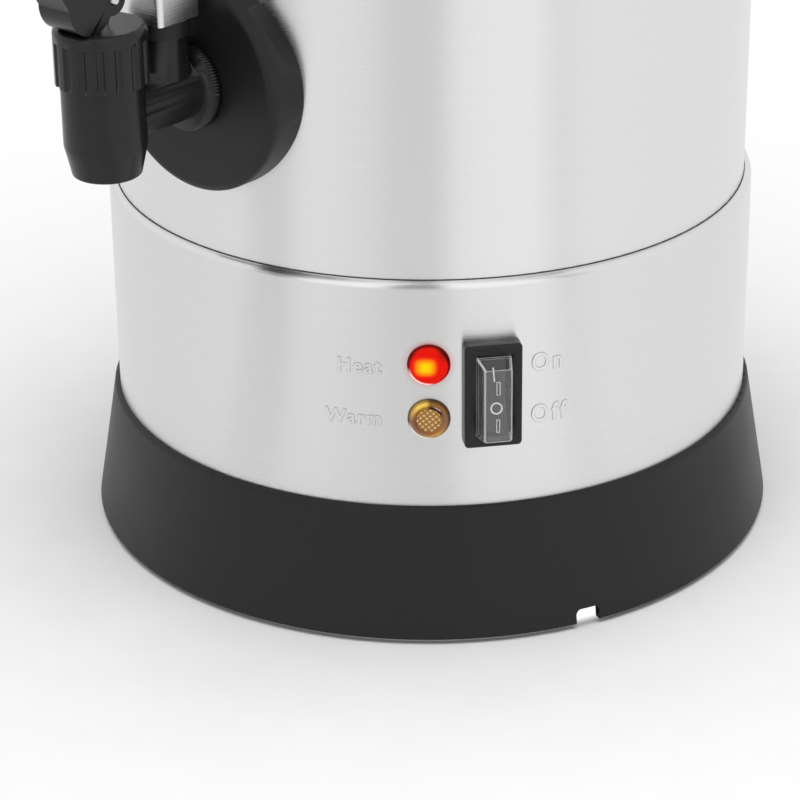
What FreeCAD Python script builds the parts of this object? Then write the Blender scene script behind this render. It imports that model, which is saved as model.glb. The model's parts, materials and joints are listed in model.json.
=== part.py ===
import FreeCAD, Part
import math
import os
import Sketcher
from FreeCAD import Placement, Rotation, Vector

# Coffee urn, millimetres. The origin is on the floor under the middle of the urn, +Z is up
# and the tap faces -Y. "angle" always means the turn from the front towards +X.

doc = FreeCAD.newDocument("coffee_urn")
sheet = doc.addObject("Spreadsheet::Sheet", "Dims")
sheet_rows = []


class Size:
    """A number together with the sheet formula it comes from."""

    def __init__(self, value, text):
        self.value = value
        self.text = text

    def __add__(self, other):
        return Size(self.value + sized(other).value, f"({self.text} + {sized(other).text})")

    def __sub__(self, other):
        return Size(self.value - sized(other).value, f"({self.text} - {sized(other).text})")

    def __mul__(self, other):
        return Size(self.value * sized(other).value, f"({self.text} * {sized(other).text})")

    def __truediv__(self, other):
        return Size(self.value / sized(other).value, f"({self.text} / {sized(other).text})")

    def __neg__(self):
        return Size(-self.value, f"(-1 * {self.text})")

    def __radd__(self, other):
        return sized(other) + self

    def __rsub__(self, other):
        return sized(other) - self

    def __rmul__(self, other):
        return sized(other) * self


def sized(item):
    return item if isinstance(item, Size) else Size(float(item), f"({float(item)})")


def sine(angle):
    angle = sized(angle)
    return Size(math.sin(math.radians(angle.value)), f"sin({angle.text} * 1 deg)")


def cosine(angle):
    angle = sized(angle)
    return Size(math.cos(math.radians(angle.value)), f"cos({angle.text} * 1 deg)")


def dim(name, value):
    """One driving dimension: a plain number in the sheet with its name as alias."""
    sheet_rows.append(name)
    row = len(sheet_rows)
    sheet.set(f"A{row}", name)
    sheet.set(f"B{row}", str(value))
    sheet.setAlias(f"B{row}", name)
    return Size(float(value), f"Dims.{name}")


# Driving dimensions: shell of the urn
skirt_radius = dim("skirt_radius", 112)
shoulder = dim("shoulder", 2.6)
steel = dim("steel", 0.8)
seam_height = dim("seam_height", 126.5)
wall_overlap = dim("wall_overlap", 8.5)
rim_height = dim("rim_height", 408)
rim_bead = dim("rim_bead", 2.6)
floor_rise = dim("floor_rise", 10.5)
well_depth = dim("well_depth", 10)
well_radius = dim("well_radius", 37)
body_radius = skirt_radius - shoulder
body_inner = body_radius - steel
body_bottom = seam_height - wall_overlap
floor_height = seam_height + floor_rise

# Driving dimensions: base ring and underside
ring_bottom = dim("ring_bottom", 1.5)
ring_top = dim("ring_top", 47.1)
ring_flare = dim("ring_flare", 9.2)
ring_wall = dim("ring_wall", 3)
ring_round = dim("ring_round", 2)
socket_depth = dim("socket_depth", 5.6)
ledge_width = dim("ledge_width", 14)
ledge_thick = dim("ledge_thick", 3)
notch_width = dim("notch_width", 8.8)
notch_height = dim("notch_height", 5.3)
notch_angle = dim("notch_angle", 65.7)
plate_bottom = dim("plate_bottom", 7.2)
plate_inset = dim("plate_inset", 5.7)
boss_inset = dim("boss_inset", 7.5)
boss_radius = dim("boss_radius", 4.5)
foot_inset = dim("foot_inset", 12)
foot_radius = dim("foot_radius", 9)
small_screw = dim("small_screw", 1.5)
mid_screw = dim("mid_screw", 2)
big_screw = dim("big_screw", 2.5)
screw_gap = dim("screw_gap", 0.1)
ring_foot_radius = skirt_radius + ring_flare
ledge_height = ring_top - socket_depth
ledge_radius = skirt_radius - ledge_width
plate_radius = ring_foot_radius - plate_inset
boss_circle = skirt_radius - boss_inset
foot_circle = skirt_radius - foot_inset

# Driving dimensions: lamps and switch
panel_angle = dim("panel_angle", 39.75)
lamp_radius = dim("lamp_radius", 6.55)
lamp_stem = dim("lamp_stem", 5)
lamp_height = dim("lamp_height", 2.6)
red_lamp_height = dim("red_lamp_height", 98.3)
amber_lamp_height = dim("amber_lamp_height", 79.1)
switch_angle = dim("switch_angle", 50.05)
switch_height = dim("switch_height", 88.1)
frame_width = dim("frame_width", 18.9)
frame_length = dim("frame_length", 36)
frame_thick = dim("frame_thick", 4.7)
cover_width = dim("cover_width", 11.9)
cover_length = dim("cover_length", 28.8)
cover_height = dim("cover_height", 6.6)
cover_top_width = dim("cover_top_width", 8.1)
cover_top_length = dim("cover_top_length", 25.5)
rocker_width = dim("rocker_width", 7.6)
rocker_length = dim("rocker_length", 24.4)
rocker_tilt = dim("rocker_tilt", 7)
fit_gap = dim("fit_gap", 0.1)

# Driving dimensions: power inlet
inlet_height = dim("inlet_height", 84)
inlet_width = dim("inlet_width", 27.4)
inlet_length = dim("inlet_length", 19.8)
inlet_flange_width = dim("inlet_flange_width", 50)
inlet_flange_length = dim("inlet_flange_length", 27)
inlet_screw_pitch = dim("inlet_screw_pitch", 40)
bezel_thick = dim("bezel_thick", 5)

# Driving dimensions: tap
tap_height = dim("tap_height", 186)
flange_radius = dim("flange_radius", 36)
flange_thick = dim("flange_thick", 8)
shank_radius = dim("shank_radius", 10.4)
barrel_radius = dim("barrel_radius", 13)
barrel_bore = dim("barrel_bore", 9.6)
spout_length = dim("spout_length", 10)
nozzle_radius = dim("nozzle_radius", 11)
seat_drop = dim("seat_drop", 9)
barrel_rise = dim("barrel_rise", 19)
bonnet_thick = dim("bonnet_thick", 10)
bonnet_radius = dim("bonnet_radius", 14.5)
stem_radius = dim("stem_radius", 3)
cam_radius = dim("cam_radius", 9)
cam_gap = dim("cam_gap", 0.05)
pin_radius = dim("pin_radius", 1.6)
lever_width = dim("lever_width", 13.4)
lever_reach = dim("lever_reach", 41)
lever_rise = dim("lever_rise", 40)
gauge_standoff = dim("gauge_standoff", 11.6)
tap_standoff = dim("tap_standoff", 25.4)
gauge_reach = body_radius + flange_thick + gauge_standoff
tap_reach = gauge_reach + tap_standoff
seat_height = tap_height - seat_drop
nozzle_bottom = seat_height - spout_length
barrel_top = tap_height + barrel_rise
bonnet_top = barrel_top + bonnet_thick

# Driving dimensions: sight gauge
glass_radius = dim("glass_radius", 4)
gauge_nut_height = dim("gauge_nut_height", 5)
gauge_drop = dim("gauge_drop", 24)
socket_top = tap_height + 20
gauge_bottom = socket_top + gauge_nut_height
gauge_roof = rim_height - gauge_drop

# Driving dimensions: side handles
grip_radius = dim("grip_radius", 8)
grip_depth = dim("grip_depth", 36.6)
handle_drop = dim("handle_drop", 26)
handle_span = dim("handle_span", 98)
grip_bend = dim("grip_bend", 16)
handle_pad = dim("handle_pad", 13)
pad_thick = dim("pad_thick", 6)
handle_screw = dim("handle_screw", 16)
grip_reach = body_radius + grip_depth
handle_high = rim_height - handle_drop
handle_low = handle_high - handle_span

# Driving dimensions: lid and brewing set
lid_steel = dim("lid_steel", 0.7)
lid_rise = dim("lid_rise", 17)
lid_step = dim("lid_step", 6)
lid_flat = dim("lid_flat", 27)
steam_circle = dim("steam_circle", 39)
knob_height = dim("knob_height", 27)
knob_radius = dim("knob_radius", 19)
riser_radius = dim("riser_radius", 4)
riser_drop = dim("riser_drop", 20)
basket_drop = dim("basket_drop", 58)
basket_radius = dim("basket_radius", 72)
basket_height = dim("basket_height", 78)
foot_bell_radius = dim("foot_bell_radius", 31)
lid_crown = rim_height + lid_rise
riser_top = rim_height - riser_drop
basket_top = rim_height - basket_drop
collar_height = basket_top - basket_height

# Driving dimensions: heater
heater_circle = dim("heater_circle", 52)
element_radius = dim("element_radius", 3.3)
heater_plate_width = dim("heater_plate_width", 20)
element_gap = dim("element_gap", 18)
element_leg = dim("element_leg", 20)
element_pin = dim("element_pin", 2.4)
heater_plate_thick = dim("heater_plate_thick", 5)
wire_radius = dim("wire_radius", 1.1)


def new_body(name):
    item = doc.addObject("PartDesign::Body", name)
    item.Label = name
    item.AllowCompound = True
    return item


def origin_part(item, role):
    return next(part for part in item.Origin.OriginFeatures if part.Role == role)


def bind(item, prop, amount):
    """Tie one property to the sheet when its size comes from there."""
    if "Dims" in amount.text:
        item.setExpression(prop, amount.text)


def arc_between(start, end, radius, side):
    """Minor arc from start to end; side +1 turns left, -1 turns right."""
    half = (end - start) * 0.5
    rise = math.sqrt(max(radius**2 - half.Length**2, 0)) * side
    normal = Vector(-half.y, half.x, 0).normalize()
    centre = start + half + normal * rise
    first, last = (start, end) if side > 0 else (end, start)
    a0 = math.atan2(first.y - centre.y, first.x - centre.x)
    a1 = math.atan2(last.y - centre.y, last.x - centre.x)
    if a1 < a0:
        a1 += 2 * math.pi
    return Part.ArcOfCircle(Part.Circle(centre, Vector(0, 0, 1), radius), a0, a1)


class Outline:
    """Collects lines, arcs and circles for one sketch, each size bound to the sheet."""

    def __init__(self, drawing):
        self.drawing = drawing

    def fix(self, kind, place, amount):
        self.drawing.addConstraint(Sketcher.Constraint(kind, *place, amount.value))
        bind(self.drawing, f"Constraints[{self.drawing.ConstraintCount - 1}]", amount)

    def circle(self, x, y, radius):
        x, y, radius = sized(x), sized(y), sized(radius)
        ring = Part.Circle(Vector(x.value, y.value, 0), Vector(0, 0, 1), radius.value)
        index = self.drawing.addGeometry(ring, False)
        self.fix("Radius", (index,), radius)
        self.fix("DistanceX", (-1, 1, index, 3), x)
        self.fix("DistanceY", (-1, 1, index, 3), y)

    def path(self, points, closed=True):
        """points are (x, y) or, when reached by an arc, (x, y, radius, side)."""
        points = [tuple(sized(part) for part in point) for point in points]
        spots = [Vector(point[0].value, point[1].value, 0) for point in points]
        base = self.drawing.GeometryCount
        count = len(points) if closed else len(points) - 1
        ends = []
        for index in range(count):
            arrival = points[(index + 1) % len(points)]
            start, end = spots[index], spots[(index + 1) % len(points)]
            if len(arrival) == 2:
                self.drawing.addGeometry(Part.LineSegment(start, end), False)
                ends.append((1, 2))
            else:
                side = arrival[3].value
                self.drawing.addGeometry(arc_between(start, end, arrival[2].value, side), False)
                ends.append((1, 2) if side > 0 else (2, 1))
        for index in range(count):
            if closed or index + 1 < count:
                after = (index + 1) % count
                link = (base + index, ends[index][1], base + after, ends[after][0])
                self.drawing.addConstraint(Sketcher.Constraint("Coincident", *link))
        for index in range(count):
            self.fix("DistanceX", (-1, 1, base + index, ends[index][0]), points[index][0])
            self.fix("DistanceY", (-1, 1, base + index, ends[index][0]), points[index][1])
        if not closed:
            self.fix("DistanceX", (-1, 1, base + count - 1, ends[-1][1]), points[-1][0])
            self.fix("DistanceY", (-1, 1, base + count - 1, ends[-1][1]), points[-1][1])
        for index in range(count):
            arrival = points[(index + 1) % len(points)]
            if len(arrival) > 2:
                self.fix("Radius", (base + index,), arrival[2])


def draw(item, plane, shapes, start=0, turn=0, closed=True):
    """Sketch on an origin plane, moved out along its normal and turned round its upright."""
    start, turn = sized(start), sized(turn)
    drawing = item.newObject("Sketcher::SketchObject", "drawing")
    drawing.AttachmentSupport = [(origin_part(item, plane), "")]
    drawing.MapMode = "FlatFace"
    out_x, out_z = start * sine(turn), start * cosine(turn)
    turned = Rotation(Vector(0, 1, 0), turn.value)
    drawing.AttachmentOffset = Placement(Vector(out_x.value, 0, out_z.value), turned)
    bind(drawing, "AttachmentOffset.Base.x", out_x)
    bind(drawing, "AttachmentOffset.Base.z", out_z)
    bind(drawing, "AttachmentOffset.Rotation.Angle", turn)
    outline = Outline(drawing)
    for shape in shapes:
        if isinstance(shape, list):
            outline.path(shape, closed)
        else:
            outline.circle(*shape)
    return drawing


def pad(item, plane, shapes, start, length, turn=0, cut=False):
    """Straight block, or straight cut, from start along the normal of the plane."""
    length = sized(length)
    drawing = draw(item, plane, shapes, start, turn)
    feature = item.newObject("PartDesign::Pocket" if cut else "PartDesign::Pad", "block")
    feature.Profile = drawing
    feature.Length = length.value
    feature.Reversed = cut
    bind(feature, "Length", length)
    item.Tip = feature
    return feature


def turn_about(item, shapes, cut=False):
    """Full turn of a half section about the upright axis of the body."""
    drawing = draw(item, "XZ_Plane", shapes)
    feature = item.newObject("PartDesign::Groove" if cut else "PartDesign::Revolution", "turned")
    feature.Profile = drawing
    feature.ReferenceAxis = (drawing, ["V_Axis"])
    feature.Angle = 360
    item.Tip = feature
    return feature


def ring_pattern(item, feature, count):
    pattern = item.newObject("PartDesign::PolarPattern", "pattern")
    pattern.Originals = [feature]
    pattern.Axis = (origin_part(item, "Z_Axis"), [""])
    pattern.Angle = 360
    pattern.Occurrences = count
    item.Tip = pattern
    return pattern


def round_edges(item, radius, wanted):
    """Fillet on every edge of the body so far for which wanted(edge) holds."""
    doc.recompute()
    last = item.Tip
    names = [f"Edge{i + 1}" for i, edge in enumerate(last.Shape.Edges) if wanted(edge)]
    feature = item.newObject("PartDesign::Fillet", "rounded")
    feature.Base = (last, names)
    radius = sized(radius)
    feature.Radius = radius.value
    bind(feature, "Radius", radius)
    item.Tip = feature
    return feature


def rectangle(width, height, x=0, y=0):
    """Corner points of an upright rectangle round (x, y)."""
    half_width, half_height = sized(width) / 2, sized(height) / 2
    left, right = x - half_width, x + half_width
    low, high = y - half_height, y + half_height
    return [(left, low), (right, low), (right, high), (left, high)]


def round_rectangle(width, height, corner, x=0, y=0):
    half_width, half_height = sized(width) / 2, sized(height) / 2
    left, right = x - half_width, x + half_width
    low, high = y - half_height, y + half_height
    return [(left, low + corner), (left + corner, low, corner, 1), (right - corner, low),
            (right, low + corner, corner, 1), (right, high - corner),
            (right - corner, high, corner, 1), (left + corner, high),
            (left, high - corner, corner, 1)]


def set_place(item, x=0, y=0, z=0, angle=0, roll=0):
    """Puts the body at (x, y, z), tipped by roll about X and then turned by angle."""
    x, y, z, angle, roll = (sized(part) for part in (x, y, z, angle, roll))
    turned = Rotation(angle.value, 0, roll.value)
    item.Placement = Placement(Vector(x.value, y.value, z.value), turned)
    if "Dims" in x.text + y.text + z.text + angle.text + roll.text:
        spot = f"vector({x.text}; {y.text}; {z.text})"
        turn = f"rotation({angle.text}; 0; {roll.text})"
        item.setExpression("Placement", f"placement({spot}; {turn})")


def set_on_wall(item, angle, height, radius, tilt=0):
    """Local z looks straight outwards from the urn and local y upwards, tipped by tilt."""
    radius = sized(radius)
    set_place(item, radius * sine(angle), -(radius * cosine(angle)), height, angle, 90 + tilt)


def trim_to_wall(item, wall_radius, origin_radius):
    """Cuts away what would lie inside the round wall behind a piece set on it."""
    depth = -sized(origin_radius)
    block = pad(item, "XZ_Plane", [(0, depth, wall_radius)], -300, 600, cut=True)
    return block


def crown(half_width, rise):
    """Radius of a shallow dome of that half width and rise, centred on the axis."""
    return (half_width * half_width + sized(rise) * rise) / (2 * sized(rise))


def level_at(height):
    """Picks the edges that lie flat at one height above the origin plane of the body."""
    height = sized(height).value
    return lambda edge: (abs(edge.BoundBox.ZMin - height) < 0.01
                         and abs(edge.BoundBox.ZMax - height) < 0.01)


def loft(item, sections, cut=False):
    """Straight-sided body or hollow between two outlines given as (height, shapes)."""
    drawings = [draw(item, "XY_Plane", shapes, height) for height, shapes in sections]
    kind = "PartDesign::SubtractiveLoft" if cut else "PartDesign::AdditiveLoft"
    feature = item.newObject(kind, "loft")
    feature.Profile = drawings[0]
    feature.Sections = drawings[1:]
    feature.Ruled = True
    item.Tip = feature
    return feature


def pipe(item, section_plane, section, section_start, points):
    """Round bar swept along a flat path drawn on the YZ plane."""
    drawing = draw(item, section_plane, section, section_start)
    spine = draw(item, "YZ_Plane", [points], closed=False)
    feature = item.newObject("PartDesign::AdditivePipe", "swept")
    feature.Profile = drawing
    feature.Spine = spine
    item.Tip = feature
    return feature


# Base ring: flared moulding with an inner ledge, four screw bosses and three notches
base_ring = new_body("base_ring")
ledge_under = ledge_height - ledge_thick
turn_about(base_ring, [[
    (ring_foot_radius - 0.8, ring_bottom),
    (ring_foot_radius, ring_bottom + 0.8, 0.8, 1),
    (skirt_radius + ring_round, ring_top - ring_round),
    (skirt_radius, ring_top, ring_round, 1),
    (skirt_radius, ledge_height),
    (ledge_radius, ledge_height),
    (ledge_radius, ledge_under),
    (skirt_radius + 0.2, ledge_under),
    (ring_foot_radius - ring_wall, ring_bottom),
]])
plate_top = plate_bottom + steel
diagonal = boss_circle * sine(45)
boss = pad(base_ring, "XY_Plane", [(diagonal, diagonal, boss_radius)], plate_top, ledge_under - plate_top)
ring_pattern(base_ring, boss, 4)
pilot = pad(base_ring, "XY_Plane", [(diagonal, diagonal, small_screw + screw_gap)],
            plate_top, 14, cut=True)
ring_pattern(base_ring, pilot, 4)
ledge_hole = pad(base_ring, "XY_Plane", [(boss_circle, 0, mid_screw + screw_gap)],
                 ledge_under, 4, cut=True)
ring_pattern(base_ring, ledge_hole, 4)
notch_half = notch_width / 2
notch_round = 2
notch = [(-notch_half, 0), (notch_half, 0), (notch_half, ring_bottom + notch_height - notch_round),
         (notch_half - notch_round, ring_bottom + notch_height, notch_round, 1),
         (notch_round - notch_half, ring_bottom + notch_height),
         (-notch_half, ring_bottom + notch_height - notch_round, notch_round, 1)]
for turn in (notch_angle, -notch_angle, sized(180)):
    pad(base_ring, "XZ_Plane", [notch], skirt_radius, 20, turn, cut=True)

# Bottom plate with vent slots, its screws and the push-in feet
bottom_plate = new_body("bottom_plate")
pad(bottom_plate, "XY_Plane", [(0, 0, plate_radius)], plate_bottom, steel)
plate_hole = pad(bottom_plate, "XY_Plane", [(diagonal, diagonal, small_screw + screw_gap)],
                 plate_bottom, steel, cut=True)
ring_pattern(bottom_plate, plate_hole, 4)
foot_hole = pad(bottom_plate, "XY_Plane", [(foot_circle, 0, 3 + screw_gap)],
                plate_bottom, steel, cut=True)
ring_pattern(bottom_plate, foot_hole, 4)
vent_slot = pad(bottom_plate, "XY_Plane", [round_rectangle(30, 5, 2.4, x=55)],
                plate_bottom, steel, cut=True)
ring_pattern(bottom_plate, vent_slot, 8)

bottom_screws = new_body("bottom_screws")
head = pad(bottom_screws, "XY_Plane", [(diagonal, diagonal, 3.2)], plate_bottom - 2.2, 2.2)
ring_pattern(bottom_screws, head, 4)
shank = pad(bottom_screws, "XY_Plane", [(diagonal, diagonal, small_screw)], plate_bottom, 12)
ring_pattern(bottom_screws, shank, 4)

rubber_feet = new_body("rubber_feet")
for low, length, radius in ((sized(0), plate_bottom, foot_radius), (plate_bottom, steel, sized(3)),
                            (plate_top, sized(2.4), sized(4))):
    disc = pad(rubber_feet, "XY_Plane", [(foot_circle, 0, radius)], low, length)
    ring_pattern(rubber_feet, disc, 4)

# Steel skirt with a flange turned in below and a rolled shoulder on top
skirt_shell = new_body("skirt_shell")
skirt_inner = skirt_radius - steel
turn_about(skirt_shell, [[
    (100, ledge_height),
    (skirt_radius - 1.6, ledge_height),
    (skirt_radius, ledge_height + 1.6, 1.6, 1),
    (skirt_radius, seam_height - shoulder),
    (body_radius, seam_height, shoulder, 1),
    (body_radius, seam_height - steel),
    (skirt_inner, seam_height - shoulder, shoulder - steel, -1),
    (skirt_inner, ledge_height + 1.6),
    (skirt_radius - 1.6, ledge_height + steel, 1.6 - steel, -1),
    (100, ledge_height + steel),
]])
flange_hole = pad(skirt_shell, "XY_Plane", [(boss_circle, 0, mid_screw + screw_gap)],
                  ledge_height, steel, cut=True)
ring_pattern(skirt_shell, flange_hole, 4)
for height in (red_lamp_height, amber_lamp_height):
    pad(skirt_shell, "XZ_Plane", [(0, height, lamp_stem + fit_gap)], 100, 20, panel_angle, cut=True)
housing_width = cover_width + 3
housing_length = cover_length + 2
pad(skirt_shell, "XZ_Plane",
    [rectangle(housing_width + 0.4, housing_length + 0.4, y=switch_height)],
    90, 40, switch_angle, cut=True)
pad(skirt_shell, "XZ_Plane", [rectangle(inlet_width + 0.6, inlet_length + 0.6, y=inlet_height)],
    90, 40, 180, cut=True)
for side in (-1, 1):
    pad(skirt_shell, "XZ_Plane",
        [(side * inlet_screw_pitch / 2, inlet_height, small_screw + screw_gap)], 90, 40, 180, cut=True)

skirt_screws = new_body("skirt_screws")
head = pad(skirt_screws, "XY_Plane", [(boss_circle, 0, 3.8)], ledge_under - 2.6, 2.6)
ring_pattern(skirt_screws, head, 4)
shank = pad(skirt_screws, "XY_Plane", [(boss_circle, 0, mid_screw)], ledge_under, 9)
ring_pattern(skirt_screws, shank, 4)


def hexagon(across, x=0, y=0):
    """Six corners of a nut of the given width across flats."""
    corner = sized(across) / 2 / cosine(30)
    return [(x + corner * cosine(60 * i), y + corner * sine(60 * i)) for i in range(6)]


skirt_nuts = new_body("skirt_nuts")
nut = pad(skirt_nuts, "XY_Plane", [hexagon(7, x=boss_circle)], ledge_height + steel, 3.2)
ring_pattern(skirt_nuts, nut, 4)
bore = pad(skirt_nuts, "XY_Plane", [(boss_circle, 0, mid_screw)], ledge_height + steel, 3.2, cut=True)
ring_pattern(skirt_nuts, bore, 4)

# Tank wall with a beaded rim, and the pressed floor with its heating well
body_shell = new_body("body_shell")
turn_about(body_shell, [[
    (body_inner, body_bottom),
    (body_radius, body_bottom),
    (body_radius, rim_height - rim_bead),
    (body_inner, rim_height - rim_bead),
]])
turn_about(body_shell, [(body_inner + rim_bead, rim_height - rim_bead, rim_bead)])
pad(body_shell, "XZ_Plane", [(0, tap_height, shank_radius + fit_gap)], 60, 70, cut=True)
gauge_screw_height = gauge_roof + 7
pad(body_shell, "XZ_Plane", [(0, gauge_screw_height, big_screw + screw_gap)], 60, 70, cut=True)
for side in (-90, 90):
    for height in (handle_low, handle_high):
        pad(body_shell, "XZ_Plane", [(0, height, big_screw + screw_gap)], 60, 70, side, cut=True)

tank_floor = new_body("tank_floor")
floor_under = floor_height - steel
well_bottom = floor_height - well_depth
floor_bend = 3
turn_about(tank_floor, [[
    (body_inner, floor_height - 11),
    (body_inner, floor_height - floor_bend),
    (body_inner - floor_bend, floor_height, floor_bend, 1),
    (well_radius + 4, floor_height),
    (well_radius, well_bottom),
    (0, well_bottom),
    (0, well_bottom - steel),
    (well_radius + 0.5, well_bottom - steel),
    (well_radius + 4.5, floor_under),
    (body_inner - floor_bend, floor_under),
    (body_inner - steel, floor_height - floor_bend, floor_bend - steel, -1),
    (body_inner - steel, floor_height - 11),
]])

# Indicator lamps: coloured lens with a plug through the skirt, lamp body and spring clip behind
lamp_spots = (("lamp_red", red_lamp_height), ("lamp_amber", amber_lamp_height))
for name, height in lamp_spots:
    lens = new_body(f"{name}_lens")
    set_on_wall(lens, panel_angle, height, skirt_radius)
    turn_about(lens, [[
        (0, -6), (lamp_stem, -6), (lamp_stem, 0), (lamp_radius, 0),
        (lamp_radius, lamp_height - 1.8),
        (lamp_radius - 1.5, lamp_height - 0.3, 1.5, 1),
        (0, lamp_height, crown(lamp_radius - 1.5, 0.3), 1),
    ]])
    holder = new_body(f"{name}_body")
    set_on_wall(holder, panel_angle, height, skirt_radius)
    turn_about(holder, [[(0, -19), (lamp_stem - 0.6, -19), (lamp_stem, -18.4), (lamp_stem, -6),
                         (0, -6)]])
    for side in (-2.5, 2.5):
        pad(holder, "XY_Plane", [rectangle(0.8, 2.8, x=side)], -25, 6)

lamp_clips = new_body("lamp_clips")
set_on_wall(lamp_clips, panel_angle, 0, skirt_radius)
for name, height in lamp_spots:
    pad(lamp_clips, "XY_Plane", [(0, height, 8), (0, height, lamp_stem)], -2.4, 1.2)

# Switch: moulded frame and housing, tilting rocker, clear cover and tags
switch_frame = new_body("switch_frame")
set_on_wall(switch_frame, switch_angle, switch_height, skirt_radius)
pad(switch_frame, "XY_Plane", [round_rectangle(frame_width, frame_length, 1.5)], -1, frame_thick + 1)
trim_to_wall(switch_frame, skirt_radius, skirt_radius)
round_edges(switch_frame, 0.8, level_at(frame_thick))
pad(switch_frame, "XY_Plane", [rectangle(housing_width, housing_length)], -15, 17)
cover_seat = frame_thick - 1.5
pad(switch_frame, "XY_Plane",
    [round_rectangle(cover_width + 2 * fit_gap, cover_length + 2 * fit_gap, 1)],
    cover_seat, 10, cut=True)
pad(switch_frame, "XY_Plane", [rectangle(cover_width - 1.2, cover_length - 1.2)], -11, 20, cut=True)

rocker_half = rocker_length / 2
pivot_depth = 1
switch_rocker = new_body("switch_rocker")
set_on_wall(switch_rocker, switch_angle, switch_height, skirt_radius - pivot_depth, -rocker_tilt)
pad(switch_rocker, "YZ_Plane", [[
    (rocker_half, 7), (0, 5.6), (-rocker_half, 7), (-rocker_half, 3.2), (-4, -0.5), (-2.4, -3.6),
    (2.4, -3.6), (4, -0.5), (rocker_half, 3.2),
]], -(rocker_width / 2), rocker_width)
pad(switch_rocker, "YZ_Plane", [(0, 0, 1 + fit_gap / 2)], -(rocker_width / 2), rocker_width, cut=True)

switch_pin = new_body("switch_pin")
set_on_wall(switch_pin, switch_angle, switch_height, skirt_radius)
pin_length = housing_width
pad(switch_pin, "YZ_Plane", [(0, -pivot_depth, 1)], -(pin_length / 2), pin_length)
pad(switch_frame, "YZ_Plane", [(0, -pivot_depth, 1)], -20, 40, cut=True)

switch_cover = new_body("switch_cover")
set_on_wall(switch_cover, switch_angle, switch_height, skirt_radius)
pad(switch_cover, "XY_Plane", [round_rectangle(cover_width, cover_length, 1)], cover_seat, 1.5)
cover_top = frame_thick + cover_height
loft(switch_cover, [(frame_thick, [round_rectangle(cover_width, cover_length, 1)]),
                    (cover_top, [round_rectangle(cover_top_width, cover_top_length, 1)])])
cover_wall = 0.7
loft(switch_cover, [
    (cover_seat - 1, [rectangle(cover_width - 2 * cover_wall, cover_length - 2 * cover_wall)]),
    (cover_top - cover_wall, [rectangle(cover_top_width - 2 * cover_wall,
                                        cover_top_length - 2 * cover_wall)]),
], cut=True)

switch_terminals = new_body("switch_terminals")
set_on_wall(switch_terminals, switch_angle, switch_height, skirt_radius)
for across in (-3.4, 3.4):
    for upright in (-9, 0):
        pad(switch_terminals, "XY_Plane", [rectangle(0.8, 4.8, x=across, y=upright)], -23, 8)

# Power inlet at the back: saddle bezel, three-pin inlet, pins and its screws
inlet_bezel = new_body("inlet_bezel")
set_on_wall(inlet_bezel, 180, inlet_height, skirt_radius)
bezel_shape = round_rectangle(inlet_flange_width + 6, inlet_flange_length + 6, 4)
pad(inlet_bezel, "XY_Plane", [bezel_shape], -5, bezel_thick + 5)
trim_to_wall(inlet_bezel, skirt_radius, skirt_radius)
pad(inlet_bezel, "XY_Plane", [rectangle(inlet_width + 0.6, inlet_length + 0.6)], -5, 20, cut=True)
round_edges(inlet_bezel, 1.2, lambda edge: level_at(bezel_thick)(edge)
            and edge.BoundBox.DiagonalLength < 100 and max(
                abs(edge.BoundBox.XMax), abs(edge.BoundBox.YMax), abs(edge.BoundBox.XMin),
                abs(edge.BoundBox.YMin)) > 15)

power_inlet = new_body("power_inlet")
set_on_wall(power_inlet, 180, inlet_height, skirt_radius)
inlet_face = bezel_thick + 3
pad(power_inlet, "XY_Plane", [round_rectangle(inlet_flange_width, inlet_flange_length, 5)],
    bezel_thick, 3)
pad(power_inlet, "XY_Plane", [round_rectangle(inlet_width, inlet_length, 3)], -17, 22)
pad(power_inlet, "XY_Plane", [round_rectangle(inlet_width - 3, inlet_length - 3, 3)],
    -10, 30, cut=True)
for side in (-1, 1):
    for item, low in ((power_inlet, bezel_thick), (inlet_bezel, sized(-5))):
        pad(item, "XY_Plane", [(side * inlet_screw_pitch / 2, 0, small_screw + screw_gap)],
            low, 20, cut=True)

inlet_pins = new_body("inlet_pins")
set_on_wall(inlet_pins, 180, inlet_height, skirt_radius)
for across, upright in ((-7, -2), (7, -2), (0, 2)):
    pad(inlet_pins, "XY_Plane", [rectangle(2, 4, x=across, y=upright)], -10, 12)
    pad(inlet_pins, "XY_Plane", [rectangle(0.8, 4.8, x=across, y=upright)], -24, 7)

inlet_screws = new_body("inlet_screws")
set_on_wall(inlet_screws, 180, inlet_height, skirt_radius)
for side in (-1, 1):
    across = side * inlet_screw_pitch / 2
    pad(inlet_screws, "XY_Plane", [(across, 0, small_screw)], -7, inlet_face + 7)
    pad(inlet_screws, "XY_Plane", [(across, 0, 2.8)], inlet_face, 1.8)
    pad(inlet_screws, "XY_Plane", [(across, 0, 3)], -7, 2.6)

# Tap: round flange on the wall, body with shank, barrel and spout, nut and washer inside
tap_flange = new_body("tap_flange")
pad(tap_flange, "XZ_Plane", [(0, tap_height, flange_radius)], 95, body_radius + flange_thick - 95)
doc.recompute()
flange_front = -(body_radius + flange_thick)
round_edges(tap_flange, 3, lambda edge: abs(edge.BoundBox.YMin - flange_front.value) < 0.01
            and abs(edge.BoundBox.YMax - flange_front.value) < 0.01)
pad(tap_flange, "XY_Plane", [(0, 0, body_radius)], 0, 400, cut=True)
pad(tap_flange, "XZ_Plane", [(0, tap_height, shank_radius + fit_gap)], 90, 60, cut=True)

wing_radius = 15
washer_start = body_inner - 4
tap_washer = new_body("tap_washer")
pad(tap_washer, "XZ_Plane", [(0, tap_height, wing_radius)], washer_start, 4)
turn_about(tap_washer, [rectangle(60, 100, x=body_inner + 30, y=tap_height)], cut=True)
pad(tap_washer, "XZ_Plane", [(0, tap_height, shank_radius)], 60, 70, cut=True)

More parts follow.
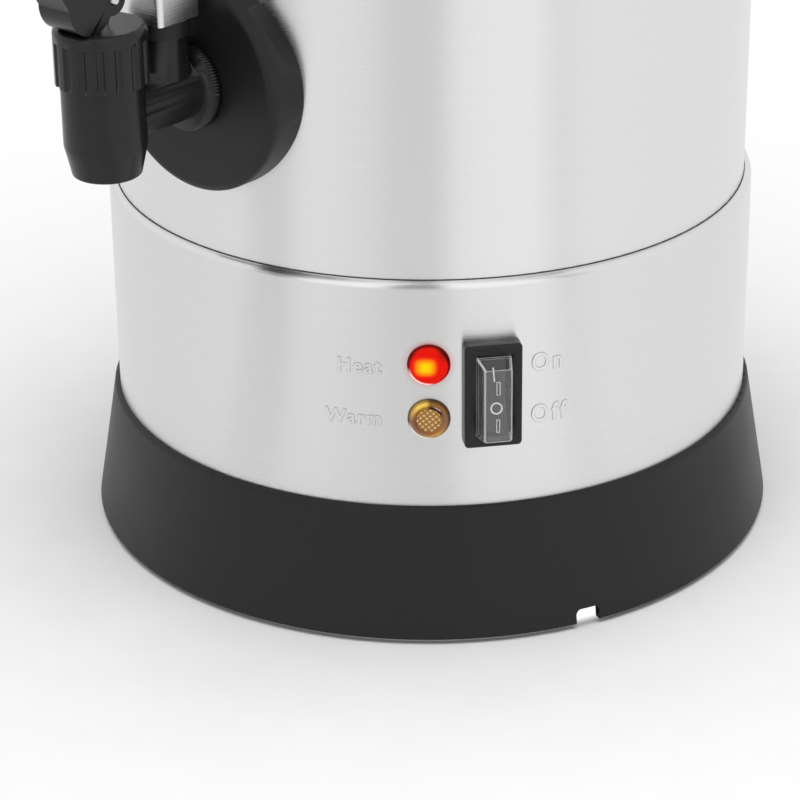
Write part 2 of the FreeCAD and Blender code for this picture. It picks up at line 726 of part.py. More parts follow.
tap_nut = new_body("tap_nut")
pad(tap_nut, "XZ_Plane", [hexagon(28, y=tap_height)], washer_start - 6, 6)
pad(tap_nut, "XZ_Plane", [(0, tap_height, shank_radius)], 60, 70, cut=True)

tap_body = new_body("tap_body")
set_place(tap_body, y=-tap_reach)
shank_start = washer_start - 9 - tap_reach
flange_face = body_radius + flange_thick - tap_reach
pad(tap_body, "XZ_Plane", [(0, tap_height, shank_radius)], shank_start, -shank_start)
pad(tap_body, "XZ_Plane", [(0, tap_height, 14.5)], flange_face, 4)
pad(tap_body, "XY_Plane", [(0, tap_reach - gauge_reach, 8.5)], tap_height - 4, 24)
turn_about(tap_body, [[
    (0, nozzle_bottom),
    (nozzle_radius - 1, nozzle_bottom),
    (nozzle_radius, nozzle_bottom + 1, 1, 1),
    (barrel_radius, seat_height),
    (barrel_radius, barrel_top - 8),
    (barrel_radius - 1.4, barrel_top - 8),
    (barrel_radius - 1.4, barrel_top),
    (0, barrel_top),
]])
turn_about(tap_body, [[
    (0, nozzle_bottom - 1),
    (6.5, nozzle_bottom - 1),
    (6.5, seat_height),
    (barrel_bore, seat_height + 2),
    (barrel_bore, barrel_top + 1),
    (0, barrel_top + 1),
]], cut=True)
pad(tap_body, "XZ_Plane", [(0, tap_height, 5.5)], shank_start, -shank_start - 4, cut=True)
gauge_seat = tap_height + 12
pad(tap_body, "XY_Plane", [(0, tap_reach - gauge_reach, 2.4)], tap_height, 30, cut=True)
pad(tap_body, "XY_Plane", [(0, tap_reach - gauge_reach, glass_radius + 0.7)],
    gauge_seat - 4, 30, cut=True)

tap_bonnet = new_body("tap_bonnet")
set_place(tap_bonnet, y=-tap_reach)
turn_about(tap_bonnet, [[
    (barrel_radius - 1.4, barrel_top - 8),
    (bonnet_radius, barrel_top - 8),
    (bonnet_radius, bonnet_top - 2 - cam_gap),
    (bonnet_radius - 2, bonnet_top - cam_gap, 2, 1),
    (stem_radius + fit_gap / 2, bonnet_top - cam_gap),
    (stem_radius + fit_gap / 2, barrel_top),
    (barrel_radius - 1.4, barrel_top),
]])
flute = pad(tap_bonnet, "XY_Plane", [(bonnet_radius + 0.7, 0, 1.5)], barrel_top - 8, 14, cut=True)
ring_pattern(tap_bonnet, flute, 16)

cup_height = 9
cup_top = seat_height + cup_height
tap_seat_cup = new_body("tap_seat_cup")
set_place(tap_seat_cup, y=-tap_reach)
turn_about(tap_seat_cup, [[
    (0, seat_height - 0.5), (5.2, seat_height - 0.5), (7.4, seat_height + 1.5), (8.8, seat_height + 4),
    (8.8, cup_top - 2), (5.2, cup_top), (stem_radius, cup_top), (stem_radius, cup_top - 6),
    (0, cup_top - 6),
]])

pin_height = bonnet_top + cam_radius
tap_stem = new_body("tap_stem")
set_place(tap_stem, y=-tap_reach)
turn_about(tap_stem, [[(0, cup_top - 6), (stem_radius, cup_top - 6), (stem_radius, pin_height - 6),
                       (0, pin_height - 6)]])
head_width = 2 * stem_radius
head_low = pin_height - 6.5
pad(tap_stem, "YZ_Plane",
    [rectangle(head_width, 10.5, y=head_low + 5.25)], -(head_width / 2), head_width)
pad(tap_stem, "YZ_Plane", [(0, pin_height, pin_radius)], -10, 20, cut=True)

# Spring round the stem, pressed between the bonnet and the seat cup
spring_wire = 0.6
spring_radius = stem_radius + 2.4
tap_spring = new_body("tap_spring")
set_place(tap_spring, y=-tap_reach)
wire_drawing = draw(tap_spring, "XZ_Plane",
                    [hexagon(spring_wire, x=spring_radius, y=cup_top + spring_wire)])
coil = tap_spring.newObject("PartDesign::AdditiveHelix", "coil")
coil.Profile = wire_drawing
coil.ReferenceAxis = (wire_drawing, ["V_Axis"])
coil.Mode = 2
coil_height = barrel_top - cup_top - 2 * spring_wire
coil.Turns = 4
coil.Height = coil_height.value
bind(coil, "Height", coil_height)
tap_spring.Tip = coil

# Lever: a cam rolling on the bonnet, forked round the stem head
tap_lever = new_body("tap_lever")
set_place(tap_lever, y=-tap_reach)
lever_start = -(lever_width / 2)
pad(tap_lever, "YZ_Plane", [(-cam_radius, pin_height, cam_radius)], lever_start, lever_width)
pad(tap_lever, "YZ_Plane", [[
    (-cam_radius, pin_height - 5),
    (0, pin_height - 5),
    (5, pin_height, 5, 1),
    (0, pin_height + 5, 5, 1),
    (-10, pin_height + 13),
    (7 - lever_reach, pin_height + lever_rise),
    (3.5 - lever_reach, pin_height + lever_rise + 0.5, 3, 1),
    (-lever_reach, pin_height + lever_rise - 2.5, 3.3, 1),
    (-20, pin_height + 4),
    (-cam_radius - 7, pin_height - 3),
]], lever_start, lever_width)
pad(tap_lever, "YZ_Plane", [rectangle(cam_radius + 16, 30, x=3.25, y=pin_height)],
    -(head_width / 2) - 0.3, head_width + 0.6, cut=True)
pad(tap_lever, "YZ_Plane", [(0, pin_height, pin_radius + fit_gap)], -10, 20, cut=True)

tap_lever_pin = new_body("tap_lever_pin")
set_place(tap_lever_pin, y=-tap_reach)
pad(tap_lever_pin, "YZ_Plane", [(0, pin_height, pin_radius)], lever_start - 0.8, lever_width + 1.6)

# Sight gauge: glass tube with seals and nut, slotted guard and top fitting with its screw
gauge_tube = new_body("gauge_tube")
set_place(gauge_tube, y=-gauge_reach)
glass_low = gauge_seat - 4
glass_bore = glass_radius - 1.1
pad(gauge_tube, "XY_Plane", [(0, 0, glass_radius), (0, 0, glass_bore)], glass_low,
    gauge_roof + 5 - glass_low)

gauge_seals = new_body("gauge_seals")
set_place(gauge_seals, y=-gauge_reach)
for low, length in ((tap_height + 15, 5), (gauge_roof, 3)):
    pad(gauge_seals, "XY_Plane", [(0, 0, glass_radius + 0.7), (0, 0, glass_radius)], low, length)

gauge_nut = new_body("gauge_nut")
set_place(gauge_nut, y=-gauge_reach)
pad(gauge_nut, "XY_Plane", [(0, 0, 9.5), (0, 0, glass_radius + fit_gap)], socket_top,
    gauge_bottom - socket_top)

guard_half = 9
guard_steel = 1
guard_front = -9
guard_back = 8
gauge_guard = new_body("gauge_guard")
set_place(gauge_guard, y=-gauge_reach)
pad(gauge_guard, "XY_Plane", [[
    (-guard_half, guard_back), (-guard_half, guard_front + 2),
    (2 - guard_half, guard_front, 2, 1), (guard_half - 2, guard_front),
    (guard_half, guard_front + 2, 2, 1), (guard_half, guard_back),
    (guard_half - guard_steel, guard_back), (guard_half - guard_steel, guard_front + 2),
    (guard_half - 2, guard_front + guard_steel, 1, -1), (2 - guard_half, guard_front + guard_steel),
    (guard_steel - guard_half, guard_front + 2, 1, -1), (guard_steel - guard_half, guard_back),
]], gauge_bottom, gauge_roof - gauge_bottom)
window_height = gauge_roof - gauge_bottom - 24
pad(gauge_guard, "XZ_Plane",
    [round_rectangle(7, window_height, 3.4, y=(gauge_roof + gauge_bottom) / 2)], 5, 10, cut=True)

gauge_top = new_body("gauge_top")
top_front = gauge_reach + 10.5
pad(gauge_top, "XZ_Plane", [[
    (-10.5, gauge_roof), (10.5, gauge_roof), (10.5, gauge_roof + 9), (4.5, gauge_roof + 15, 6, 1),
    (-4.5, gauge_roof + 15), (-10.5, gauge_roof + 9, 6, 1),
]], 100, top_front - 100)
pad(gauge_top, "XY_Plane", [(0, 0, body_radius)], gauge_roof - 1, 20, cut=True)
pad(gauge_top, "XY_Plane", [(0, -gauge_reach, glass_radius + 0.7)], gauge_roof - 1, 6, cut=True)
pad(gauge_top, "XZ_Plane", [(0, gauge_screw_height, big_screw + screw_gap / 2)], 100, 18, cut=True)

gauge_top_screw = new_body("gauge_top_screw")
pad(gauge_top_screw, "XZ_Plane", [(0, gauge_screw_height, 4.5)], body_inner - 3.2, 3.2)
turn_about(gauge_top_screw, [rectangle(60, 60, x=body_inner + 30, y=gauge_screw_height)], cut=True)
pad(gauge_top_screw, "XZ_Plane", [(0, gauge_screw_height, big_screw)], body_inner - 1, 9)

# Side handles bolted through the tank wall from inside
handle_sides = (("handle_left", -90), ("handle_right", 90))
for name, side in handle_sides:
    handle = new_body(name)
    set_on_wall(handle, side, 0, 0)
    pipe(handle, "XY_Plane", [(0, handle_high, grip_radius)], 100, [
        (handle_high, 100),
        (handle_high, grip_reach - grip_bend),
        (handle_high - grip_bend, grip_reach, grip_bend, 1),
        (handle_low + grip_bend, grip_reach),
        (handle_low, grip_reach - grip_bend, grip_bend, 1),
        (handle_low, 100),
    ])
    for height in (handle_low, handle_high):
        pad(handle, "XY_Plane", [(0, height, handle_pad)], 100, body_radius + pad_thick - 100)
    round_edges(handle, 2, lambda edge: level_at(body_radius + pad_thick)(edge)
                and edge.BoundBox.XLength > 2 * handle_pad.value - 1)
    pad(handle, "XZ_Plane", [(0, 0, body_radius)], -500, 1000, cut=True)
    for height in (handle_low, handle_high):
        pad(handle, "XY_Plane", [(0, height, big_screw + screw_gap / 2)], 100, 24, cut=True)

handle_washers = new_body("handle_washers")
handle_screws = new_body("handle_screws")
for turn in (-90, 90):
    for height in (handle_low, handle_high):
        pad(handle_washers, "XZ_Plane", [(0, height, 6)], body_inner - 1.6, 1.6, turn)
        pad(handle_screws, "XZ_Plane", [(0, height, 4.6)], body_inner - 4.4, 2.8, turn)
        pad(handle_screws, "XZ_Plane", [(0, height, big_screw)], body_inner - 2, handle_screw, turn)
for height in (handle_low, handle_high):
    turn_about(handle_washers, [rectangle(60, 30, x=body_inner + 30, y=height)], cut=True)
for turn in (-90, 90):
    for height in (handle_low, handle_high):
        pad(handle_washers, "XZ_Plane", [(0, height, big_screw)], 90, 40, turn, cut=True)

# Lid with a locating step inside the rim, its knob and the knob screw
lid = new_body("lid")
lid_edge = body_inner + 2 * rim_bead + 1.6
step_radius = body_inner - 1.2
step_low = rim_height - lid_step
lid_top = rim_height + lid_steel
turn_about(lid, [[
    (lid_edge - lid_steel, rim_height - 5),
    (lid_edge, rim_height - 5),
    (lid_edge, lid_top - 1.4),
    (lid_edge - 1.4, lid_top, 1.4, 1),
    (step_radius - lid_steel, lid_top),
    (step_radius - lid_steel, step_low + lid_steel),
    (step_radius - 3, step_low + lid_steel),
    (lid_flat, lid_crown, 330, 1),
    (0, lid_crown),
    (0, lid_crown - lid_steel),
    (lid_flat, lid_crown - lid_steel),
    (step_radius - 3, step_low, 330, -1),
    (step_radius, step_low),
    (step_radius, rim_height),
    (lid_edge - 1.4, rim_height),
    (lid_edge - lid_steel, rim_height - 0.7, 0.7, -1),
]])
pad(lid, "XY_Plane", [(0, 0, big_screw + screw_gap)], lid_crown - 5, 10, cut=True)
steam_hole = pad(lid, "XY_Plane", [(steam_circle, 0, 2)], rim_height, 60, cut=True)
ring_pattern(lid, steam_hole, 3)

lid_knob = new_body("lid_knob")
knob_top = lid_crown + knob_height
turn_about(lid_knob, [[
    (0, lid_crown),
    (17, lid_crown),
    (18, lid_crown + 1, 1, 1),
    (17, lid_crown + 3.5),
    (11, lid_crown + 8, 8, -1),
    (11, knob_top - 13),
    (knob_radius - 2, knob_top - 9, 9, -1),
    (knob_radius, knob_top - 6, 2.5, 1),
    (knob_radius - 5, knob_top - 1, 6, 1),
    (0, knob_top, crown(knob_radius - 5, 1), 1),
]])
turn_about(lid_knob, [[(0, lid_crown - 1), (big_screw, lid_crown - 1),
                       (big_screw, lid_crown + 14), (0, lid_crown + 14)]], cut=True)

lid_knob_screw = new_body("lid_knob_screw")
screw_head = lid_crown - lid_steel
turn_about(lid_knob_screw, [[
    (0, screw_head - 3), (4.5, screw_head - 3), (4.5, screw_head), (big_screw, screw_head),
    (big_screw, lid_crown + 13), (0, lid_crown + 13),
]])

# Brewing set: pump foot, riser tube with its collar, basket and spreader
riser_bore = riser_radius - 0.8
riser_bottom = well_bottom + 6
riser_tube = new_body("riser_tube")
pad(riser_tube, "XY_Plane", [(0, 0, riser_radius), (0, 0, riser_bore)], riser_bottom,
    riser_top - riser_bottom)

pump_foot = new_body("pump_foot")
turn_about(pump_foot, [[
    (riser_radius, well_bottom + 9), (riser_radius, well_bottom + 17),
    (riser_radius + 1, well_bottom + 17), (riser_radius + 2.4, well_bottom + 10.5),
    (foot_bell_radius - 3, well_bottom + 3.4), (foot_bell_radius, well_bottom),
    (foot_bell_radius - 1.2, well_bottom), (foot_bell_radius - 4, well_bottom + 2.4),
]])

riser_collar = new_body("riser_collar")
pad(riser_collar, "XY_Plane", [(0, 0, 9), (0, 0, riser_radius)], collar_height - 4, 4)

basket_steel = 0.7
sleeve_bore = riser_radius + 0.5
brew_basket = new_body("brew_basket")
turn_about(brew_basket, [[
    (sleeve_bore, collar_height),
    (basket_radius - 4, collar_height),
    (basket_radius, collar_height + 4, 4, 1),
    (basket_radius, basket_top - 2),
    (basket_radius + 2, basket_top - 2),
    (basket_radius + 2, basket_top),
    (basket_radius - basket_steel, basket_top),
    (basket_radius - basket_steel, collar_height + 4),
    (basket_radius - 4, collar_height + basket_steel, 4 - basket_steel, -1),
    (sleeve_bore + 0.7, collar_height + basket_steel),
    (sleeve_bore + 0.7, basket_top - 4),
    (sleeve_bore, basket_top - 4),
]])
for circle_radius, count in ((20, 8), (36, 14), (53, 20)):
    hole = pad(brew_basket, "XY_Plane", [(circle_radius, 0, 1.6)], collar_height - 1, 3, cut=True)
    ring_pattern(brew_basket, hole, count)

basket_cover = new_body("basket_cover")
cover_edge = basket_radius + 3.4
turn_about(basket_cover, [[
    (sleeve_bore, basket_top), (cover_edge - 0.7, basket_top),
    (cover_edge - 0.7, basket_top - 4), (cover_edge, basket_top - 4),
    (cover_edge, basket_top + 0.7), (62, basket_top + 0.7), (60, basket_top + 2.4),
    (12, basket_top + 2.4), (10, basket_top + 0.7), (sleeve_bore, basket_top + 0.7),
]])
turn_about(basket_cover, [[(12.4, basket_top - 1), (59.6, basket_top - 1),
                           (59.6, basket_top + 1.7), (12.4, basket_top + 1.7)]], cut=True)
for circle_radius, count in ((24, 8), (45, 16)):
    hole = pad(basket_cover, "XY_Plane", [(circle_radius, 0, 1.6)], basket_top - 1, 5, cut=True)
    ring_pattern(basket_cover, hole, count)

# Heater: grooved plate brazed under the floor, ring element, thermostats and fuse
plate_low = floor_under - heater_plate_thick
heater_plate = new_body("heater_plate")
turn_about(heater_plate, [rectangle(heater_plate_width, heater_plate_thick, x=heater_circle,
                                    y=floor_under - heater_plate_thick / 2)])
turn_about(heater_plate, [(heater_circle, plate_low, element_radius)], cut=True)

heating_element = new_body("heating_element")
turn_about(heating_element, [(heater_circle, plate_low, element_radius)])
cold_end = plate_low - element_leg
for across in (-(element_gap / 2), element_gap / 2):
    pad(heating_element, "XY_Plane", [(across, heater_circle, element_pin)], cold_end, element_leg)

for name, spot_x, spot_y, roof in (("brew_thermostat", 0, 0, well_bottom - steel),
                                   ("keep_warm_thermostat", 60, 60, floor_under)):
    thermostat = new_body(name)
    set_place(thermostat, spot_x, spot_y)
    pad(thermostat, "XY_Plane", [(0, 0, 11)], roof - 1, 1)
    pad(thermostat, "XY_Plane", [(0, 0, 8)], roof - 11, 10)
    for side in (-5, 5):
        pad(thermostat, "XY_Plane", [rectangle(0.8, 5, x=side)], roof - 18, 7)

thermal_fuse = new_body("thermal_fuse")
set_place(thermal_fuse, -64, 52)
pad(thermal_fuse, "XY_Plane", [rectangle(24, 8)], floor_under - 1, 1)
pad(thermal_fuse, "YZ_Plane", [(0, floor_under - 3.6, 3)], -10, 20)


def wire(name, runs):
    """One or more insulated wires, each a run of straights with rounded corners."""
    solids = []
    for points in runs:
        spots = [Vector(*point) for point in points]
        spine = Part.makePolygon(spots)
        ring = Part.Circle(spots[0], spots[1] - spots[0], wire_radius.value)
        section = Part.Wire([ring.toShape()])
        solids.append(spine.makePipeShell([section], True, False, 2))
    item = doc.addObject("Part::Feature", name)
    item.Label = name
    item.Shape = solids[0] if len(solids) == 1 else Part.makeCompound(solids)
    item.Placement = Placement()
    return item


def wall_point(angle, radius, height):
    turn = math.radians(angle)
    return (radius * math.sin(turn), -radius * math.cos(turn), height)


# Wiring from the inlet pins to the switch tags and on to the element and thermostats
doc.recompute()
back = inlet_height.value
pins = skirt_radius.value - 24.4
tags = skirt_radius.value - 23.5
side, level = switch_angle.value, switch_height.value
well_tag = (well_bottom - steel).value - 18
ring, ring_tag = heater_circle.value, cold_end.value
nut_spot = boss_circle.value - 4.5
ledge = ledge_height.value
wire("wire_live", [
    [(7, pins, back - 2), (8, pins - 11.6, back - 4), wall_point(146, pins - 15, back - 14),
     wall_point(97, tags - 10, level - 17), wall_point(side - 4, tags - 8.5, level - 13),
     wall_point(side - 1.8, tags, level - 9)],
    [wall_point(side + 0.7, tags, level), wall_point(side - 1, tags - 10.5, level + 3),
     wall_point(side, ring, well_tag - 12), (5, 0, well_tag - 10), (5, 0, well_tag)],
])
wire("wire_neutral", [
    [(-7, pins, back - 2), (-8, pins - 11.6, back), (-20, ring + 14, back + 12),
     (-9, ring, ring_tag - 5), (-9, ring, ring_tag)],
])
wire("wire_earth", [
    [(0, pins, back + 2), (0, pins - 13.6, back + 2), wall_point(-146, pins - 15, back - 14),
     wall_point(-130, nut_spot - 8, ledge + 14), wall_point(-134.5, nut_spot, ledge + 4.5)],
])

# Check of every feature, then one STEP file for each piece
doc.recompute()
os.makedirs("parts", exist_ok=True)
for item in doc.Objects:
    if "Invalid" in item.State or "Error" in item.State:
        raise RuntimeError(f"{item.Label}: {item.State}")
for item in doc.Objects:
    if item.TypeId in ("PartDesign::Body", "Part::Feature"):
        if item.Shape.isNull() or not item.Shape.isValid() or not item.Shape.Solids:
            raise RuntimeError(f"{item.Label} has no valid shape")
        item.Shape.exportStep(f"parts/{item.Label}.step")
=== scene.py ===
import json
import math

import bmesh
import bpy
from mathutils import Matrix, Vector

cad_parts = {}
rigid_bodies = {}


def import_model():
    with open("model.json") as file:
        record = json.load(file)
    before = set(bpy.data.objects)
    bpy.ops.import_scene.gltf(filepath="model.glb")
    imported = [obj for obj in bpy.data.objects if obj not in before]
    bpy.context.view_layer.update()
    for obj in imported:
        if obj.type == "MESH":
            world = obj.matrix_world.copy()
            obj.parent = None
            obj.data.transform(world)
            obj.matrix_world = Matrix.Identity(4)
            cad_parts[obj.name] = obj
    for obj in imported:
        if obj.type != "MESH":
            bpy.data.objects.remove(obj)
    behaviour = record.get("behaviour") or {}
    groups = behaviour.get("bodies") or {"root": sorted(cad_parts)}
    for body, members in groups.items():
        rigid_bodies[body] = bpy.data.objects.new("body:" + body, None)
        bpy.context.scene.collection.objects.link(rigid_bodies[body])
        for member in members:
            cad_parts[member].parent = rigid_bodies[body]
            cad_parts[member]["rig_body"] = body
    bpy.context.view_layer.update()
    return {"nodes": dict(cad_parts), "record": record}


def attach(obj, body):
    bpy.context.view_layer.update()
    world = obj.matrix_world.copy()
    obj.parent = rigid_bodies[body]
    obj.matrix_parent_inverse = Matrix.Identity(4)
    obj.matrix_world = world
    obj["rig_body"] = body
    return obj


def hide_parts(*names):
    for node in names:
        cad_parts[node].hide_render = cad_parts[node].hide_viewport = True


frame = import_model()

MM = 0.001
SKIRT_RADIUS = 112 * MM
PANEL_ANGLE = 39.75
SWITCH_ANGLE = 50.05
SWITCH_HEIGHT = 88.1 * MM
RED_HEIGHT = 98.3 * MM
AMBER_HEIGHT = 79.1 * MM
LENS_RADIUS = 6.75 * MM
LENS_HEIGHT = 2.2 * MM
ROCKER_TILT = 7
BODY_OF = {node: part["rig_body"] for node, part in frame["nodes"].items()}


def on_wall(angle, height, radius=SKIRT_RADIUS):
    turn = math.radians(angle)
    out = Vector((math.sin(turn), -math.cos(turn), 0))
    right = Vector((math.cos(turn), math.sin(turn), 0))
    place = Matrix((right, (0, 0, 1), out)).transposed().to_4x4()
    place.translation = out * radius + Vector((0, 0, height))
    return place


# Finishes

class Finish:
    """A material built up node by node around one main shader."""

    def __init__(self, name, colour, roughness, metallic=0.0):
        self.material = bpy.data.materials.new(name)
        self.material.use_nodes = True
        tree = self.material.node_tree
        self.nodes, self.links = tree.nodes, tree.links
        self.shader = self.nodes["Principled BSDF"]
        self.set(base_color=(*colour, 1), roughness=roughness, metallic=metallic)
        self.spot = self.add("ShaderNodeTexCoord").outputs["Object"]

    def add(self, kind, **inputs):
        node = self.nodes.new(kind)
        for name, value in inputs.items():
            self.feed(node, name, value)
        return node

    def mix(self, share, first, second):
        """Two shaders, with the second shown by the share."""
        return self.add("ShaderNodeMixShader", i0=share, i1=first, i2=second).outputs[0]

    def feed(self, node, name, value):
        numbered = name[0] == "i" and name[1:].isdigit()
        socket = node.inputs[int(name[1:])] if numbered else self.named(node, name)
        if isinstance(value, bpy.types.NodeSocket):
            self.links.new(value, socket)
        else:
            socket.default_value = value

    def named(self, node, name):
        wanted = name.replace("_", " ").lower()
        return next(s for s in node.inputs if s.name.lower() == wanted and s.enabled)

    def set(self, **inputs):
        for name, value in inputs.items():
            self.feed(self.shader, name, value)

    def noise(self, scale, detail=3.0, stretch=(1, 1, 1), roughness=0.5):
        place = self.add("ShaderNodeMapping", vector=self.spot, scale=stretch)
        cloud = self.add("ShaderNodeTexNoise", vector=place.outputs[0], scale=scale, detail=detail,
                         roughness=roughness)
        return cloud.outputs["Fac"]

    def spread(self, value, low, high):
        reach = self.add("ShaderNodeMapRange", value=value, from_min=0.3, from_max=0.7,
                         to_min=low, to_max=high)
        return reach.outputs[0]

    def tint(self, value, dark, light):
        ramp = self.nodes.new("ShaderNodeValToRGB")
        ramp.color_ramp.elements[0].color = (*dark, 1)
        ramp.color_ramp.elements[1].color = (*light, 1)
        ramp.color_ramp.elements[0].position = 0.3
        ramp.color_ramp.elements[1].position = 0.7
        self.links.new(value, ramp.inputs[0])
        return ramp.outputs[0]

    def bump(self, value, strength, distance):
        raised = self.add("ShaderNodeBump", strength=strength, distance=distance, height=value)
        self.set(normal=raised.outputs[0])


def shade(colour, amount):
    return tuple(part * amount for part in colour)


def brushed_metal(name, colour, roughness, stretch, depth=0.000006, varied=0.05, uneven=0.03):
    finish = Finish(name, colour, roughness, 1.0)
    lines = finish.noise(1.0, 2.0, stretch)
    finish.set(base_color=finish.tint(lines, shade(colour, 1 - uneven), shade(colour, 1 + uneven)))
    finish.set(roughness=finish.spread(lines, roughness - varied, roughness + varied))
    finish.bump(lines, 0.35, depth)
    return finish


def moulded(name, colour, roughness, grain=900, depth=0.00002, varied=0.06, gloss=0.5):
    finish = Finish(name, colour, roughness)
    finish.set(specular_ior_level=gloss)
    cloud = finish.noise(grain, 3.0)
    patches = finish.noise(14, 2.0)
    finish.set(base_color=finish.tint(patches, shade(colour, 0.9), shade(colour, 1.1)))
    finish.set(roughness=finish.spread(patches, roughness - varied, roughness + varied))
    finish.bump(cloud, 0.25, depth)
    return finish


def clear(name, colour, roughness, veil, edge):
    """A clear wall: mostly see-through from the front, with a white veil of painted reflection that
    thickens where it is seen edge on.
    """
    finish = Finish(name, colour, roughness)
    smears = finish.noise(60, 2.0)
    finish.set(roughness=finish.spread(smears, roughness, roughness + 0.03))
    slant = finish.add("ShaderNodeLayerWeight", blend=0.35)
    cover = finish.add("ShaderNodeMapRange", value=slant.outputs["Facing"], from_min=0.0, from_max=1.0,
                       to_min=veil, to_max=edge)
    finish.set(alpha=cover.outputs[0])
    return finish


STEEL = (0.797, 0.795, 0.793)


def brushed_round(name):
    """Steel brushed round and round the urn: its shine spreads up and down, hardly sideways."""
    finish = brushed_metal(name, STEEL, 0.25, (30, 30, 6000), 0.000005, 0.03, 0.02)
    along = finish.nodes.new("ShaderNodeTangent")
    along.direction_type = "RADIAL"
    along.axis = "Z"
    finish.set(anisotropic=0.93, anisotropic_rotation=0.25, tangent=along.outputs[0])
    return finish


brushed_steel = brushed_round("brushed_steel")
pressed_steel = brushed_metal("pressed_steel", (0.72, 0.72, 0.71), 0.36, (260, 260, 260))
plated_steel = brushed_metal("plated_steel", (0.70, 0.70, 0.69), 0.26, (400, 400, 400))
aluminium = brushed_metal("aluminium", (0.76, 0.765, 0.77), 0.4, (240, 240, 240))
brass_contact = brushed_metal("brass_contact", (0.76, 0.60, 0.32), 0.32, (300, 300, 300))
element_sheath = brushed_metal("element_sheath", (0.20, 0.19, 0.18), 0.5, (300, 300, 300))
black_plastic = moulded("black_plastic", (0.010, 0.010, 0.0104), 0.48, gloss=0.33)
frame_plastic = moulded("frame_plastic", (0.006, 0.006, 0.0063), 0.3, gloss=0.36)
pin_dark = brushed_metal("pin_dark", (0.05, 0.05, 0.05), 0.5, (400, 400, 400))
black_gloss_plastic = moulded("black_gloss_plastic", (0.011, 0.011, 0.0115), 0.28, 500, 0.00001,
                              gloss=0.35)
rubber_black = moulded("rubber_black", (0.028, 0.028, 0.028), 0.75)
thermostat_black = moulded("thermostat_black", (0.04, 0.038, 0.036), 0.55)
silicone = moulded("silicone", (0.62, 0.60, 0.57), 0.5)
white_plastic = moulded("white_plastic", (0.80, 0.79, 0.76), 0.4)
wire_brown = moulded("wire_brown", (0.16, 0.06, 0.025), 0.45)
wire_blue = moulded("wire_blue", (0.03, 0.10, 0.38), 0.45)
wire_green = moulded("wire_green", (0.10, 0.30, 0.06), 0.45)
# The white veils of the clear parts are painted reflection; the whitest one is a painted highlight for
# the cover's rounded edges.
clear_plastic = clear("clear_plastic", (0.80, 0.81, 0.81), 0.06, 0.015, 0.10)
clear_plastic_face = clear("clear_plastic_face", (0.80, 0.81, 0.81), 0.06, 0.08, 0.2)
clear_plastic_highlight = clear("clear_plastic_highlight", (0.95, 0.95, 0.95), 0.06, 0.4, 0.7)
clear_glass = clear("clear_glass", (0.80, 0.83, 0.81), 0.02, 0.08, 0.7)
# A near-black finish that stands in for the shade in the gap at the seam.
seam_gap_shade = moulded("seam_gap_shade", (0.02, 0.02, 0.02), 0.6)
mark_white = moulded("mark_white", (0.78, 0.78, 0.76), 0.5)


def on_face(finish, place, across=0, along=0, turned=0):
    """Coordinates on the face of a lens, measured flat from a point on it."""
    spot = place @ Matrix.Translation((across, along, 0)) @ Matrix.Rotation(turned, 4, "Z")
    local = finish.nodes.new("ShaderNodeMapping")
    local.vector_type = "TEXTURE"
    finish.links.new(finish.spot, local.inputs["Vector"])
    local.inputs["Location"].default_value = spot.translation
    local.inputs["Rotation"].default_value = spot.to_euler()
    local.inputs["Scale"].default_value = (1, 1, 1000)
    return local.outputs[0]


def distance(finish, place, across=0, along=0):
    far = finish.add("ShaderNodeVectorMath", i0=on_face(finish, place, across, along))
    far.operation = "LENGTH"
    return far.outputs["Value"]


def worked(finish, kind, operation, first, second):
    node = finish.nodes.new(kind)
    node.operation = operation
    for socket, value in zip(node.inputs, (first, second)):
        if isinstance(value, bpy.types.NodeSocket):
            finish.links.new(value, socket)
        elif value is not None:
            socket.default_value = value
    return node.outputs[0]


def math_node(finish, operation, first, second=None):
    """One step of arithmetic on plain numbers."""
    return worked(finish, "ShaderNodeMath", operation, first, second)


def joined(finish, operation, first, second=None):
    """One step of arithmetic on colours or directions, channel by channel."""
    return worked(finish, "ShaderNodeVectorMath", operation, first, second)


def times(finish, first, second):
    return joined(finish, "MULTIPLY", first, second)


def plus(finish, first, second):
    return joined(finish, "ADD", first, second)


def ramp(finish, value, low, high, stops):
    """Colours, or plain levels, in order of a value that runs from low to high."""
    share = finish.add("ShaderNodeMapRange", value=value, from_min=low, from_max=high)
    colours = finish.nodes.new("ShaderNodeValToRGB")
    points = colours.color_ramp.elements
    while len(points) < len(stops):
        points.new(0.5)
    for point, (place, colour) in zip(points, stops):
        point.position = (place - low) / (high - low)
        point.color = (*colour, 1) if isinstance(colour, tuple) else (colour, colour, colour, 1)
    finish.links.new(share.outputs[0], colours.inputs[0])
    return colours.outputs[0]


def graded(finish, value, stops):
    """Colours in order of a length from nought, each stop given in millimetres."""
    scaled = [(length * MM, colour) for length, colour in stops]
    return ramp(finish, value, 0, scaled[-1][0], scaled)


def by_direction(finish, across, along, stops):
    """Colours by the direction of two lengths, in degrees clockwise from the second."""
    angle = math_node(finish, "ARCTAN2", across, along)
    turns = [(math.radians(turn), colour) for turn, colour in stops]
    return ramp(finish, angle, -math.pi, math.pi, turns)


def around(finish, place, stops):
    """Colours by clock direction on the face of a lens, in degrees clockwise from the top."""
    parts = finish.add("ShaderNodeSeparateXYZ", vector=on_face(finish, place))
    return by_direction(finish, parts.outputs["X"], parts.outputs["Y"], stops)


def blocky_distance(finish, place, across, along, squash=1.15):
    """Distance from a point on the lens that grows in rounded squares instead of circles."""
    parts = finish.add("ShaderNodeSeparateXYZ", vector=on_face(finish, place, across, along))
    wide = math_node(finish, "ABSOLUTE", parts.outputs["X"])
    tall = math_node(finish, "MULTIPLY", math_node(finish, "ABSOLUTE", parts.outputs["Y"]), squash)
    cubes = [math_node(finish, "POWER", length, 3.0) for length in (wide, tall)]
    return math_node(finish, "POWER", math_node(finish, "ADD", *cubes), 1 / 3)


